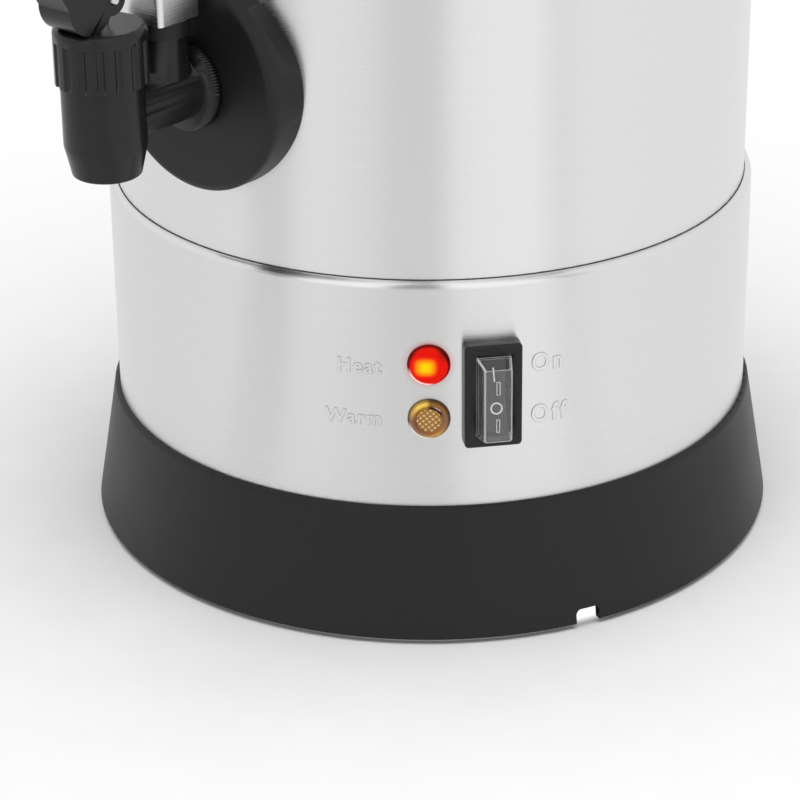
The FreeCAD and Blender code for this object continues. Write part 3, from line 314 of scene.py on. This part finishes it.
def edge_glint(finish, lamp, colour):
    """The pale line of light along the lower left edge of a lens."""
    ring = graded(finish, distance(finish, lamp), [(0.0, 0.0), (5.95, 0.0), (6.15, 1.0), (7.3, 1.0)])
    where = around(finish, lamp, [
        (-180, 0.8), (-165, 1.0), (-125, 1.0), (-95, 0.0), (165, 0.0), (180, 0.8),
    ])
    return times(finish, times(finish, ring, where), colour)


def lamp_red():
    finish = Finish("lens_red_glowing", (0.06, 0.001, 0.001), 0.14)
    finish.set(specular_ior_level=0.05)
    lamp = on_wall(PANEL_ANGLE, RED_HEIGHT)
    glow = graded(finish, blocky_distance(finish, lamp, -1.05 * MM, -0.2 * MM), [
        (0.0, (1.0, 0.72, 0.0)), (1.5, (1.0, 0.60, 0.0)), (2.5, (1.0, 0.32, 0.004)),
        (3.3, (0.95, 0.14, 0.003)), (3.9, (0.84, 0.02, 0.002)), (4.8, (0.74, 0.006, 0.002)),
        (7.5, (0.78, 0.01, 0.003)),
    ])
    radius = distance(finish, lamp)
    # Painted shade darkens the rim on the left and right, less at the top and bottom, and darkens the
    # lip at the very edge.
    ring = graded(finish, radius, [(0.0, 1.0), (5.8, 1.0), (6.2, 0.5), (6.5, 0.15), (7.3, 0.08)])
    open_side = around(finish, lamp, [
        (-180, 0.8), (-130, 0.35), (-100, 0.0), (-60, 0.0), (-35, 0.9), (15, 0.9), (30, 0.6),
        (50, 0.4), (75, 0.0), (105, 0.0), (140, 0.6), (180, 0.8),
    ])
    lip = graded(finish, radius, [(0.0, 1.0), (6.45, 1.0), (6.65, 0.2), (7.3, 0.1)])
    rim = times(finish, joined(finish, "MAXIMUM", ring, open_side), lip)
    # Painted shade: an arc at the upper right of the glow is darkened.
    upper_right = around(finish, lamp, [
        (-180, 0.0), (22, 0.0), (42, 1.0), (62, 1.0), (90, 0.0), (180, 0.0),
    ])
    outside = graded(finish, radius, [
        (0.0, 0.0), (4.4, 0.0), (5.2, (0.3, 0.0, 0.0)), (6.0, (0.3, 0.0, 0.0)), (7.3, (0.1, 0.0, 0.0)),
    ])
    dark = times(finish, upper_right, outside)
    lit = joined(finish, "SUBTRACT", times(finish, glow, rim), dark)
    lit = joined(finish, "MAXIMUM", lit, (0.03, 0, 0))
    glint = edge_glint(finish, lamp, (0.95, 0.72, 0.68))
    finish.set(emission_color=plus(finish, lit, glint), emission_strength=1.0)
    return finish


def lamp_amber():
    finish = Finish("lens_amber_glass", (0.3, 0.15, 0.04), 0.12)
    finish.set(specular_ior_level=0.15)
    lamp = on_wall(PANEL_ANGLE, AMBER_HEIGHT)
    radius = distance(finish, lamp)
    # Inner ring colour by direction: painted highlight at the upper left, painted shade at the upper
    # right.
    inner = around(finish, lamp, [
        (-180, (0.34, 0.12, 0.05)), (-135, (0.26, 0.10, 0.05)), (-90, (0.22, 0.08, 0.035)),
        (-40, (0.36, 0.16, 0.02)), (-8, (0.42, 0.18, 0.02)), (4, (0.05, 0.006, 0.0)),
        (52, (0.05, 0.008, 0.0)), (75, (0.24, 0.13, 0.06)), (110, (0.30, 0.16, 0.06)),
        (150, (0.36, 0.15, 0.03)), (180, (0.34, 0.12, 0.05)),
    ])
    # Outer ring colour by direction: painted highlights in gold at the upper left and the lower right,
    # darker elsewhere.
    outer = around(finish, lamp, [
        (-180, (0.46, 0.28, 0.10)), (-140, (0.34, 0.20, 0.11)), (-90, (0.26, 0.15, 0.09)),
        (-66, (0.60, 0.36, 0.10)), (-35, (0.95, 0.66, 0.12)), (-8, (0.90, 0.55, 0.11)),
        (4, (0.28, 0.13, 0.03)), (55, (0.30, 0.15, 0.04)), (75, (0.30, 0.14, 0.08)),
        (115, (0.38, 0.18, 0.08)), (150, (0.70, 0.38, 0.09)), (180, (0.46, 0.28, 0.10)),
    ])
    share = graded(finish, radius, [(0.0, 0.0), (4.8, 0.0), (5.4, 1.0), (7.0, 1.0)])
    rest = graded(finish, radius, [(0.0, 1.0), (4.8, 1.0), (5.4, 0.0), (7.0, 0.0)])
    ring = plus(finish, times(finish, inner, rest), times(finish, outer, share))
    # Painted shade darkens the outer edge, after a brighter line just inside it.
    lip = graded(finish, radius, [
        (0.0, 1.0), (5.75, 1.0), (5.95, 1.25), (6.25, 0.75), (6.6, 0.5), (6.85, 0.25), (7.3, 0.15),
    ])
    # Painted glint: a pale streak across the ring at the upper right.
    arc = graded(finish, radius, [(0.0, 0.0), (4.85, 0.0), (5.05, 1.0), (5.25, 0.0), (7.0, 0.0)])
    where = around(finish, lamp, [
        (-180, 0.0), (16, 0.0), (24, 0.7), (44, 0.75), (50, 0.0), (180, 0.0),
    ])
    painted_glint_streak = times(finish, arc, where)
    glint = edge_glint(finish, lamp, (0.85, 0.78, 0.75))
    coloured = plus(finish, times(finish, ring, lip), glint)
    finish.set(base_color=plus(finish, coloured, painted_glint_streak))
    return finish


PRISM_PITCH = 1.42 * MM
PRISM_TURN = math.radians(39)
PRISM_ACROSS = 0.29 * MM
PRISM_ALONG = 0.48 * MM


def lamp_amber_prisms():
    """Facets with a painted highlight at their tops and painted shade in the valleys between them."""
    finish = Finish("lens_amber_prisms", (0.72, 0.42, 0.17), 0.15)
    finish.set(specular_ior_level=0.3)
    lamp = on_wall(PANEL_ANGLE, AMBER_HEIGHT)
    face = on_face(finish, lamp, PRISM_ACROSS, PRISM_ALONG, PRISM_TURN)
    parts = finish.add("ShaderNodeSeparateXYZ", vector=face)
    near = [math_node(finish, "PINGPONG", parts.outputs[axis], PRISM_PITCH / 2) for axis in ("X", "Y")]
    depth = math_node(finish, "MINIMUM", *near)
    finish.set(base_color=graded(finish, depth, [
        (0.0, (0.30, 0.13, 0.02)), (0.15, (0.48, 0.25, 0.07)), (0.38, (0.66, 0.40, 0.16)),
        (0.71, (1.0, 0.72, 0.38)),
    ]))
    return finish


def lettered_steel():
    """The steel of the raised letters, with painted shade on their edges, darker where they turn away
    from the wall.
    """
    finish = brushed_metal("letter_steel", STEEL, 0.3, (30, 30, 6000))
    outwards = joined(finish, "NORMALIZE", times(finish, finish.spot, (1, 1, 0)))
    facing = finish.add("ShaderNodeVectorMath", i0=outwards,
                        i1=finish.add("ShaderNodeNewGeometry").outputs["Normal"])
    facing.operation = "DOT_PRODUCT"
    finish.set(base_color=ramp(finish, facing.outputs["Value"], 0, 1, [
        (0.0, 0.30), (0.6, 0.42), (0.93, 0.60), (1.0, 0.79),
    ]))
    return finish


def skirt_steel():
    """The skirt's steel, a touch darker than the tank's, and pink where the lit lamp shines."""
    finish = brushed_round("skirt_steel")
    lamp = on_wall(PANEL_ANGLE, RED_HEIGHT).translation
    near = finish.add("ShaderNodeVectorMath", i0=finish.spot, i1=lamp)
    near.operation = "DISTANCE"
    halo = graded(finish, near.outputs["Value"], [
        (0.0, (1.0, 0.58, 0.58)), (7.0, (1.0, 0.58, 0.58)), (7.5, (0.99, 0.79, 0.79)),
        (8.9, (0.965, 0.965, 0.965)),
    ])
    steel = finish.shader.inputs["Base Color"].links[0].from_socket
    finish.set(base_color=times(finish, steel, halo))
    return finish


letter_steel = lettered_steel()
skirt_look = skirt_steel()
lens_red = lamp_red()
lens_amber = lamp_amber()
amber_prisms = lamp_amber_prisms()


FINISH_OF = {
    "brushed_steel": brushed_steel, "pressed_steel": pressed_steel, "plated_steel": plated_steel,
    "aluminium": aluminium, "brass_contact": brass_contact, "element_sheath": element_sheath,
    "black_plastic": black_plastic, "black_gloss_plastic": black_gloss_plastic,
    "rubber_black": rubber_black, "thermostat_black": thermostat_black, "silicone": silicone,
    "white_plastic": white_plastic,
    "wire_brown": wire_brown, "wire_blue": wire_blue, "wire_green": wire_green,
    "clear_plastic": clear_plastic, "clear_glass": clear_glass, "lens_red": lens_red,
    "lens_amber": lens_amber,
}


# Pieces

SLOT_OF = {part["node"]: part["material_slot"] for part in frame["record"]["subparts"]}
OWN_FINISH = {"switch_frame": frame_plastic, "switch_pin": pin_dark}


def finished(name, shape, node, finish, sharp=35):
    """Makes the object for one piece; it rides with, and stands for, its CAD node."""
    bmesh.ops.remove_doubles(shape, verts=shape.verts, dist=0.000002)
    bmesh.ops.recalc_face_normals(shape, faces=shape.faces)
    mesh = bpy.data.meshes.new(name)
    shape.to_mesh(mesh)
    shape.free()
    mesh.polygons.foreach_set("use_smooth", [True] * len(mesh.polygons))
    mesh.set_sharp_from_angle(angle=math.radians(sharp))
    piece = bpy.data.objects.new(name, mesh)
    bpy.context.scene.collection.objects.link(piece)
    mesh.materials.append(finish.material)
    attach(piece, BODY_OF[node])
    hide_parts(node)
    return piece


def smoothed(node):
    """The CAD piece, its seams closed, round faces smooth and normals true to its large faces."""
    shape = bmesh.new()
    shape.from_mesh(frame["nodes"][node].data)
    finish = OWN_FINISH.get(node, FINISH_OF[SLOT_OF[node]])
    piece = finished(node + "_look", shape, node, finish)
    even = piece.modifiers.new("even_normals", "WEIGHTED_NORMAL")
    even.keep_sharp = True
    even.weight = 80


def turned(section, place, steps, closed=False):
    """A round shape: its section, given as radius and height pairs, turned all the way round."""
    shape = bmesh.new()
    points = [shape.verts.new((radius, 0, height)) for radius, height in section]
    ends = points[1:] + points[:1] if closed else points[1:]
    edges = [shape.edges.new(pair) for pair in zip(points, ends)]
    bmesh.ops.spin(shape, geom=points + edges, cent=(0, 0, 0), axis=(0, 0, 1), angle=2 * math.pi,
                   steps=steps, use_merge=True)
    bmesh.ops.remove_doubles(shape, verts=shape.verts, dist=0.000001)
    bmesh.ops.transform(shape, matrix=place, verts=shape.verts)
    return shape


def spun(name, section, place, node, finish, steps=96, sharp=35):
    return finished(name, turned(section, place, steps), node, finish, sharp)


def bend(radius, height, size, start, end, steps=12):
    """Points of a round corner about a centre, from one angle to another in degrees."""
    turns = [math.radians(start + (end - start) * i / steps) for i in range(steps + 1)]
    return [(radius + size * math.cos(turn), height + size * math.sin(turn)) for turn in turns]


# Skirt: flange turned in below, rolled shoulder, and the holes for what is set in it

SHEET = 0.8 * MM
SHOULDER = 2.6 * MM
SEAM_HEIGHT = 126.5 * MM
LEDGE_HEIGHT = 41.5 * MM
LOW_BEND = 1.6 * MM
FLANGE_INNER = 100 * MM
LAMP_HOLE = 5.1 * MM
SWITCH_HOLE = (15.3 * MM, 31.2 * MM)
INLET_ANGLE = 180
INLET_HEIGHT = 84 * MM
INLET_HOLE = (28 * MM, 20.4 * MM)
INLET_SCREW_REACH = 20 * MM
INLET_SCREW_HOLE = 1.6 * MM
BOSS_CIRCLE = 104.5 * MM
BOSS_HOLE = 2.1 * MM
BOSS_DEPTH = 4 * MM
THROUGH = 12 * MM
SEAM_GAP = 0.24 * MM


def block(place, width, length, depth=THROUGH):
    shape = bmesh.new()
    bmesh.ops.create_cube(shape, size=1)
    bmesh.ops.scale(shape, vec=(width, length, depth), verts=shape.verts)
    bmesh.ops.transform(shape, matrix=place, verts=shape.verts)
    return shape


def drill(place, radius, depth=THROUGH):
    shape = bmesh.new()
    bmesh.ops.create_cone(shape, cap_ends=True, segments=48, radius1=radius, radius2=radius,
                          depth=depth)
    bmesh.ops.transform(shape, matrix=place, verts=shape.verts)
    return shape


def cut_out(piece, cutters):
    """Takes the cutters' shapes out of a piece, for good."""
    for cutter in cutters:
        mesh = bpy.data.meshes.new("cutter")
        bmesh.ops.recalc_face_normals(cutter, faces=cutter.faces)
        cutter.to_mesh(mesh)
        cutter.free()
        tool = bpy.data.objects.new("cutter", mesh)
        bpy.context.scene.collection.objects.link(tool)
        cut = piece.modifiers.new("cut", "BOOLEAN")
        cut.operation, cut.solver, cut.object = "DIFFERENCE", "EXACT", tool
        bpy.context.view_layer.update()
        evaluated = piece.evaluated_get(bpy.context.evaluated_depsgraph_get())
        left = bpy.data.meshes.new_from_object(evaluated)
        piece.modifiers.remove(cut)
        piece.data = left
        bpy.data.objects.remove(tool)


skirt_top = SEAM_HEIGHT - SHOULDER
low_top = LEDGE_HEIGHT + LOW_BEND
section = [(FLANGE_INNER, LEDGE_HEIGHT)]
section += bend(SKIRT_RADIUS - LOW_BEND, low_top, LOW_BEND, -90, 0, 6)
section += bend(SKIRT_RADIUS - SHOULDER, skirt_top, SHOULDER, 0, 90, 20)
section += bend(SKIRT_RADIUS - SHOULDER, skirt_top, SHOULDER - SHEET, 90, 0, 8)
section += bend(SKIRT_RADIUS - LOW_BEND, low_top, LOW_BEND - SHEET, 0, -90, 4)
section += [(FLANGE_INNER, LEDGE_HEIGHT + SHEET)]
skirt = turned(section, Matrix.Identity(4), 360, closed=True)
skirt = finished("skirt_sheet", skirt, "skirt_shell", skirt_look)

inlet_place = on_wall(INLET_ANGLE, INLET_HEIGHT)
cutters = [drill(on_wall(PANEL_ANGLE, height), LAMP_HOLE) for height in (RED_HEIGHT, AMBER_HEIGHT)]
cutters += [block(on_wall(SWITCH_ANGLE, SWITCH_HEIGHT), *SWITCH_HOLE), block(inlet_place, *INLET_HOLE)]
for side in (-1, 1):
    aside = Matrix.Translation((side * INLET_SCREW_REACH, 0, 0))
    cutters.append(drill(inlet_place @ aside, INLET_SCREW_HOLE))
for i in range(4):
    boss = Matrix.Rotation(math.radians(90 * i), 4, "Z")
    boss = boss @ Matrix.Translation((BOSS_CIRCLE, 0, LEDGE_HEIGHT))
    cutters.append(drill(boss, BOSS_HOLE, BOSS_DEPTH))
cut_out(skirt, cutters)

# A thin dark ring at the seam: the gap is real, and its darkness is painted shade.
seam = bend(SKIRT_RADIUS - SHOULDER + 0.05 * MM, SEAM_HEIGHT, SEAM_GAP, -90, 90, 6)
spun("seam_line", seam, Matrix.Identity(4), "body_shell", seam_gap_shade, 360)


# Words raised on the skirt

CAPITAL_SHARE = 0.73
WORD_SINK = 0.22 * MM


def raised_word(words, angle, height, capital, align, narrow=0.86, spacing=1.3):
    """Letters bent round the skirt, pressed out of the steel."""
    curve = bpy.data.curves.new("words_" + words, "FONT")
    curve.body = words
    curve.size = capital / CAPITAL_SHARE
    curve.align_x = align
    curve.offset = 0.03 * MM
    curve.space_character = spacing
    curve.extrude = 0.2 * MM
    curve.bevel_depth = 0.25 * MM
    curve.bevel_resolution = 3
    holder = bpy.data.objects.new("letters", curve)
    bpy.context.scene.collection.objects.link(holder)
    bpy.context.view_layer.update()
    mesh = bpy.data.meshes.new_from_object(holder)
    bpy.data.objects.remove(holder)
    shape = bmesh.new()
    shape.from_mesh(mesh)
    for point in shape.verts:
        turn = math.radians(angle) + point.co.x * narrow / SKIRT_RADIUS
        reach = SKIRT_RADIUS - WORD_SINK + point.co.z
        point.co = (reach * math.sin(turn), -reach * math.cos(turn), height + point.co.y)
    return finished("word_" + words.lower(), shape, "skirt_shell", letter_steel, 50)


raised_word("On", 56.9, 93.6 * MM, 6.3 * MM, "LEFT")
raised_word("Off", 56.9, 75.2 * MM, 6.3 * MM, "LEFT")
raised_word("Heat", 31.9, 94.6 * MM, 5.1 * MM, "RIGHT", 0.95, 1.16)
raised_word("Warm", 31.9, 76.2 * MM, 5.1 * MM, "RIGHT", 0.95, 1.14)


# Indicator lamps

LENS_STEM_RADIUS = 5 * MM
LENS_STEM_DEPTH = 6 * MM
PRISM_DISC = 4.05 * MM
PRISM_RISE = 0.5 * MM
PRISM_LEVEL = 1.4 * MM


def dome(radius, height, foot, steps=16):
    """Section of a lens cap that is nearly flat in the middle and turns down round its edge."""
    cap = []
    for i in range(steps + 1):
        lean = math.radians(90 * i / steps)
        rise = (height - foot) * math.cos(lean) ** 0.55
        cap.append((radius * math.sin(lean) ** 0.75, foot + rise))
    return cap


def lens_stem():
    """The lip that lies on the steel, and the stem behind it."""
    lip = bend(LENS_RADIUS - 0.03 * MM, 0.25 * MM, 0.25 * MM, 90, -90, 6)
    return lip + [(LENS_STEM_RADIUS, 0), (LENS_STEM_RADIUS, -LENS_STEM_DEPTH), (0, -LENS_STEM_DEPTH)]


red_place = on_wall(PANEL_ANGLE, RED_HEIGHT)
amber_place = on_wall(PANEL_ANGLE, AMBER_HEIGHT)
crown = dome(LENS_RADIUS, LENS_HEIGHT, 0.5 * MM)
spun("red_lens", crown + lens_stem(), red_place, "lamp_red_lens", lens_red, 128)
amber_crown = [
    (3.95 * MM, 1.3 * MM), (4.05 * MM, 1.6 * MM), (4.4 * MM, 1.85 * MM), (5.1 * MM, 1.95 * MM),
    (5.7 * MM, 1.85 * MM), (6.1 * MM, 1.6 * MM), (6.2 * MM, 1.45 * MM), (6.35 * MM, 1.4 * MM),
    (6.6 * MM, 1.2 * MM), (LENS_RADIUS, 0.8 * MM),
]
spun("amber_lens", amber_crown + lens_stem(), amber_place, "lamp_amber_lens", lens_amber, 128)


def split(shape, point, normal, clear_outer=False):
    """Cuts every face that crosses a plane, and can take away what lies outside it."""
    everything = shape.verts[:] + shape.edges[:] + shape.faces[:]
    bmesh.ops.bisect_plane(shape, geom=everything, plane_co=point, plane_no=normal,
                           clear_outer=clear_outer)


shape = bmesh.new()
bmesh.ops.create_grid(shape, x_segments=8, y_segments=8, size=4 * PRISM_PITCH)
bmesh.ops.poke(shape, faces=shape.faces, offset=PRISM_RISE)
spot = Matrix.Translation((PRISM_ACROSS, PRISM_ALONG, 0)) @ Matrix.Rotation(PRISM_TURN, 4, "Z")
bmesh.ops.transform(shape, matrix=spot, verts=shape.verts)
for turn in range(24):
    side = Vector((math.cos(turn * math.pi / 12), math.sin(turn * math.pi / 12), 0))
    split(shape, side * PRISM_DISC, side, clear_outer=True)
bmesh.ops.translate(shape, verts=shape.verts, vec=(0, 0, PRISM_LEVEL))
bmesh.ops.transform(shape, matrix=amber_place, verts=shape.verts)
finished("amber_prism_disc", shape, "lamp_amber_lens", amber_prisms, 5)


# Rocker switch: clear cover and the marks on the rocker

def frustum(base, top, low, high, shift):
    """A block with ends of two sizes, the top one moved by the shift, open below."""
    shape = bmesh.new()
    bmesh.ops.create_cube(shape, size=1)
    for point in shape.verts:
        upper = point.co.z > 0
        width, length = top if upper else base
        aside, along = shift if upper else (0, 0)
        across = point.co.x * width + aside
        point.co = (across, point.co.y * length + along, high if upper else low)
    shape.faces.ensure_lookup_table()
    under = [face for face in shape.faces if face.normal.z < -0.5]
    bmesh.ops.delete(shape, geom=under, context="FACES")
    return shape


COVER_FOOT = (12.1 * MM, 28.8 * MM)
COVER_FACE = (9.1 * MM, 25.9 * MM)
COVER_SHIFT = (0.25 * MM, -0.35 * MM)
COVER_LOW = 3.3 * MM
COVER_HIGH = 11.3 * MM
COVER_WALL = 0.7 * MM
COVER_LINE = (4.8 * MM, 5.05 * MM)


def rounded_off(shape, edges, size, steps):
    return bmesh.ops.bevel(shape, geom=edges, offset=size, affect="EDGES", segments=steps,
                           profile=0.5, material=-1)["faces"]


switch_place = on_wall(SWITCH_ANGLE, SWITCH_HEIGHT)
shape = frustum(COVER_FOOT, COVER_FACE, COVER_LOW, COVER_HIGH, COVER_SHIFT)
slanted = [edge for edge in shape.edges if abs(edge.verts[0].co.z - edge.verts[1].co.z) > 1 * MM]
rounded_off(shape, slanted, 1.0 * MM, 4)
near_top = COVER_HIGH - 0.1 * MM
top = [edge for edge in shape.edges if min(edge.verts[0].co.z, edge.verts[1].co.z) > near_top]
corners = rounded_off(shape, top, 0.5 * MM, 3)
for low in COVER_LINE:
    split(shape, (0, 0, low), (0, 0, 1))
# The top face takes the front veil; the rounded sides, the rounded top corners that face sideways or
# down, and a thin band round the walls take the whitest veil, a painted highlight.
for face in shape.faces:
    middle = face.calc_center_median()
    rounded_side = abs(face.normal.x) > 0.2 and abs(face.normal.y) > 0.2 and face.normal.z < 0.7
    takes_highlight = rounded_side or COVER_LINE[0] < middle.z < COVER_LINE[1]
    face.material_index = 1 if face.normal.z > 0.99 else 2 if takes_highlight else 0
for face in corners:
    face.material_index = 0 if face.normal.y > 0.3 and abs(face.normal.x) < 0.2 else 2
bmesh.ops.recalc_face_normals(shape, faces=shape.faces)
bmesh.ops.solidify(shape, geom=shape.faces[:], thickness=COVER_WALL)
bmesh.ops.transform(shape, matrix=switch_place, verts=shape.verts)
cover = finished("cover_shell", shape, "switch_cover", clear_plastic, 50)
cover.data.materials.append(clear_plastic_face.material)
cover.data.materials.append(clear_plastic_highlight.material)

ROCKER_PIVOT_DEPTH = 1 * MM
ROCKER_DIP = 1.4 * MM
ROCKER_HALF = 12.2 * MM
ROCKER_FACE = 5.6 * MM

rocker_place = on_wall(SWITCH_ANGLE, SWITCH_HEIGHT, SKIRT_RADIUS - ROCKER_PIVOT_DEPTH)
rocker_place = rocker_place @ Matrix.Rotation(math.radians(-ROCKER_TILT), 4, "X")


def rocker_mark(name, shape, across, along, lean=0):
    """Lays a flat mark on the rocker's face, which falls away from both ends to the middle."""
    slope = math.atan2(ROCKER_DIP, ROCKER_HALF) * (1 if along > 0 else -1)
    lift = ROCKER_FACE + abs(along) * math.tan(abs(slope)) + 0.02 * MM
    raised = bmesh.ops.extrude_face_region(shape, geom=shape.faces[:])["geom"]
    points = [part for part in raised if isinstance(part, bmesh.types.BMVert)]
    bmesh.ops.translate(shape, verts=points, vec=(0, 0, 0.05 * MM))
    spot = Matrix.Translation((across, along, lift)) @ Matrix.Rotation(slope, 4, "X")
    spot = spot @ Matrix.Rotation(math.radians(lean), 4, "Z")
    bmesh.ops.transform(shape, matrix=rocker_place @ spot, verts=shape.verts)
    return finished(name, shape, "switch_rocker", mark_white, 30)


def mark_outline(width, length, line, corners=4):
    """A frame or, with many corners, a ring of the given line width."""
    shape = bmesh.new()
    bmesh.ops.create_circle(shape, cap_ends=True, segments=corners, radius=0.5)
    turn = Matrix.Rotation(math.pi / 4, 3, "Z") if corners == 4 else Matrix.Identity(3)
    grow = math.sqrt(2) if corners == 4 else 1
    bmesh.ops.transform(shape, matrix=turn, verts=shape.verts)
    bmesh.ops.scale(shape, vec=(width * grow, length * grow, 1), verts=shape.verts)
    middle = bmesh.ops.inset_region(shape, faces=shape.faces[:], thickness=line, use_boundary=True,
                                    use_even_offset=True)
    rim = set(middle["faces"])
    bmesh.ops.delete(shape, geom=[face for face in shape.faces if face not in rim], context="FACES")
    return shape


def mark_bar(width, length):
    shape = bmesh.new()
    bmesh.ops.create_grid(shape, x_segments=1, y_segments=1, size=0.5)
    bmesh.ops.scale(shape, vec=(width, length, 1), verts=shape.verts)
    return shape


rocker_mark("mark_dash", mark_bar(0.45 * MM, 5.2 * MM), 0, 7.0 * MM, 5)
rocker_mark("mark_one", mark_outline(1.3 * MM, 4.7 * MM, 0.23 * MM), 1.55 * MM, 1.95 * MM)
rocker_mark("mark_circle", mark_outline(4.0 * MM, 4.0 * MM, 0.5 * MM, 48), 0.7 * MM, -4.55 * MM)
rocker_mark("mark_bar", mark_outline(1.2 * MM, 4.3 * MM, 0.23 * MM), 1.0 * MM, -10.35 * MM, -4)

SPECIAL = {"lamp_red_lens", "lamp_amber_lens", "switch_cover", "skirt_shell"}
for node in sorted(set(frame["nodes"]) - SPECIAL):
    smoothed(node)


# Floor, light and camera

CAMERA_TURN = math.radians(40.2)
FLOOR_RADIUS = 6
UNDER_BASE = (0.119, 0.115)
SHADOW_FADE = (0.16, 0.42)
MIRROR_FADE = (0.12, 0.2)
WALL_BANDS = [
    (-180, 0.84), (-90, 0.86), (-62, 0.89), (-56, 0.815), (-45, 0.82), (-40, 0.905), (-31, 0.885),
    (-16, 0.805),
    (4, 0.81), (9, 0.93), (19, 0.98), (33, 1.0), (43, 0.90), (51, 0.945), (180, 0.88),
]
SHOULDER_BANDS = [
    (-180, 0.75), (-65, 0.80), (-60, 0.40), (-52, 0.15), (-48, 0.90), (-44, 1.0), (-18, 1.0),
    (-12, 0.35),
    (1, 0.30), (3, 0.45), (7, 1.0), (39, 1.0), (48, 0.50), (58, 0.80), (180, 0.75),
]


def bands(finish, place, stops):
    """Brightness by direction round the urn: (degrees from the camera's side, brightness)."""
    swing = finish.add("ShaderNodeMapping", vector=place, rotation=(0, 0, -CAMERA_TURN))
    parts = finish.add("ShaderNodeSeparateXYZ", vector=swing.outputs[0])
    back = math_node(finish, "MULTIPLY", parts.outputs["Y"], -1.0)
    return by_direction(finish, parts.outputs["X"], back, stops)


floor_mesh = bpy.data.meshes.new("floor")
shape = bmesh.new()
bmesh.ops.create_circle(shape, cap_ends=True, segments=128, radius=FLOOR_RADIUS)
shape.to_mesh(floor_mesh)
shape.free()
floor = bpy.data.objects.new("floor", floor_mesh)
bpy.context.scene.collection.objects.link(floor)
paper = Finish("floor_paper", (0.92, 0.92, 0.92), 0.9)
grain = paper.noise(40, 2.0)
paper.set(base_color=paper.tint(grain, (0.93, 0.93, 0.93), (0.95, 0.95, 0.95)))
white = paper.add("ShaderNodeEmission", color=(1, 1, 1, 1), strength=1.0)
mirrored = paper.add("ShaderNodeEmission", color=bands(paper, paper.spot, WALL_BANDS), strength=1.0)
far = paper.add("ShaderNodeVectorMath", i0=paper.spot)
far.operation = "LENGTH"


def floor_share(reach):
    """Rises from 0 to 1 between two distances from the urn's axis."""
    share = paper.add("ShaderNodeMapRange", value=far.outputs["Value"], from_min=reach[0],
                      from_max=reach[1])
    return share.outputs[0]


seen = paper.add("ShaderNodeLightPath")
shown = math_node(paper, "MAXIMUM", floor_share(SHADOW_FADE), floor_share(UNDER_BASE))
seen_white = math_node(paper, "MULTIPLY", shown, seen.outputs["Is Camera Ray"])
glossy = math_node(paper, "MULTIPLY", floor_share(MIRROR_FADE), seen.outputs["Is Glossy Ray"])
blend = paper.mix(seen_white, paper.shader.outputs[0], white.outputs[0])
blend = paper.mix(glossy, blend, mirrored.outputs[0])
paper.links.new(blend, paper.nodes["Material Output"].inputs["Surface"])
floor_mesh.materials.append(paper.material)


class Sky(Finish):
    """The studio round the urn, built with the same helpers as a material."""

    def __init__(self, world):
        world.use_nodes = True
        self.nodes, self.links = world.node_tree.nodes, world.node_tree.links
        self.spot = self.add("ShaderNodeTexCoord").outputs["Generated"]


world = bpy.data.worlds.new("studio")
bpy.context.scene.world = world
sky = Sky(world)
plain = sky.nodes["Background"]
plain.inputs["Color"].default_value = (1, 1, 1, 1)
plain.inputs["Strength"].default_value = 0.62
seen = sky.add("ShaderNodeLightPath")
height = sky.add("ShaderNodeSeparateXYZ", vector=sky.spot)
rise = sky.add("ShaderNodeMapRange", value=height.outputs["Z"], from_min=0.0, from_max=0.08)
low = sky.add("ShaderNodeBackground", color=bands(sky, sky.spot, WALL_BANDS))
high = sky.add("ShaderNodeBackground", color=bands(sky, sky.spot, SHOULDER_BANDS), strength=1.2)
mirrored = sky.mix(rise.outputs[0], low.outputs[0], high.outputs[0])
white = sky.add("ShaderNodeBackground", color=(1, 1, 1, 1), strength=1.0).outputs[0]
lit = sky.mix(seen.outputs["Is Glossy Ray"], plain.outputs[0], mirrored)
shown = sky.mix(seen.outputs["Is Camera Ray"], lit, white)
clear_view = sky.mix(seen.outputs["Is Transmission Ray"], shown, white)
sky.links.new(clear_view, sky.nodes["World Output"].inputs["Surface"])


def softbox(name, spot, aim, width, height, watts):
    lamp = bpy.data.lights.new(name, "AREA")
    lamp.shape = "RECTANGLE"
    lamp.size, lamp.size_y = width, height
    lamp.energy = watts
    holder = bpy.data.objects.new(name, lamp)
    bpy.context.scene.collection.objects.link(holder)
    holder.location = spot
    holder.rotation_euler = (Vector(aim) - Vector(spot)).to_track_quat("-Z", "Y").to_euler()
    holder.visible_glossy = False


softbox("overhead", (0.2, -0.2, 1.7), (0, 0, 0.1), 1.2, 1.2, 16)

CAMERA_PITCH = math.radians(25.53)
CAMERA_ROLL = math.radians(-0.35)
CAMERA_REACH = 984.5 * MM
CAMERA_HEIGHT = 502.4 * MM

lens = bpy.data.cameras.new("camera")
lens.lens = 135
lens.sensor_width = 36
lens.shift_x = -0.0396
lens.clip_start = 0.01
camera = bpy.data.objects.new("camera", lens)
bpy.context.scene.collection.objects.link(camera)
look = Vector((0, math.cos(CAMERA_PITCH), -math.sin(CAMERA_PITCH)))
side = Vector((1, 0, 0))
over = side.cross(look)
side_rolled = side * math.cos(CAMERA_ROLL) + over * math.sin(CAMERA_ROLL)
over_rolled = over * math.cos(CAMERA_ROLL) - side * math.sin(CAMERA_ROLL)
facing = Matrix((side_rolled, over_rolled, -look)).transposed().to_4x4()
place = Matrix.Translation((0, -CAMERA_REACH, CAMERA_HEIGHT)) @ facing
camera.matrix_world = Matrix.Rotation(CAMERA_TURN, 4, "Z") @ place
scene = bpy.context.scene
scene.camera = camera
scene.view_settings.view_transform = "Standard"
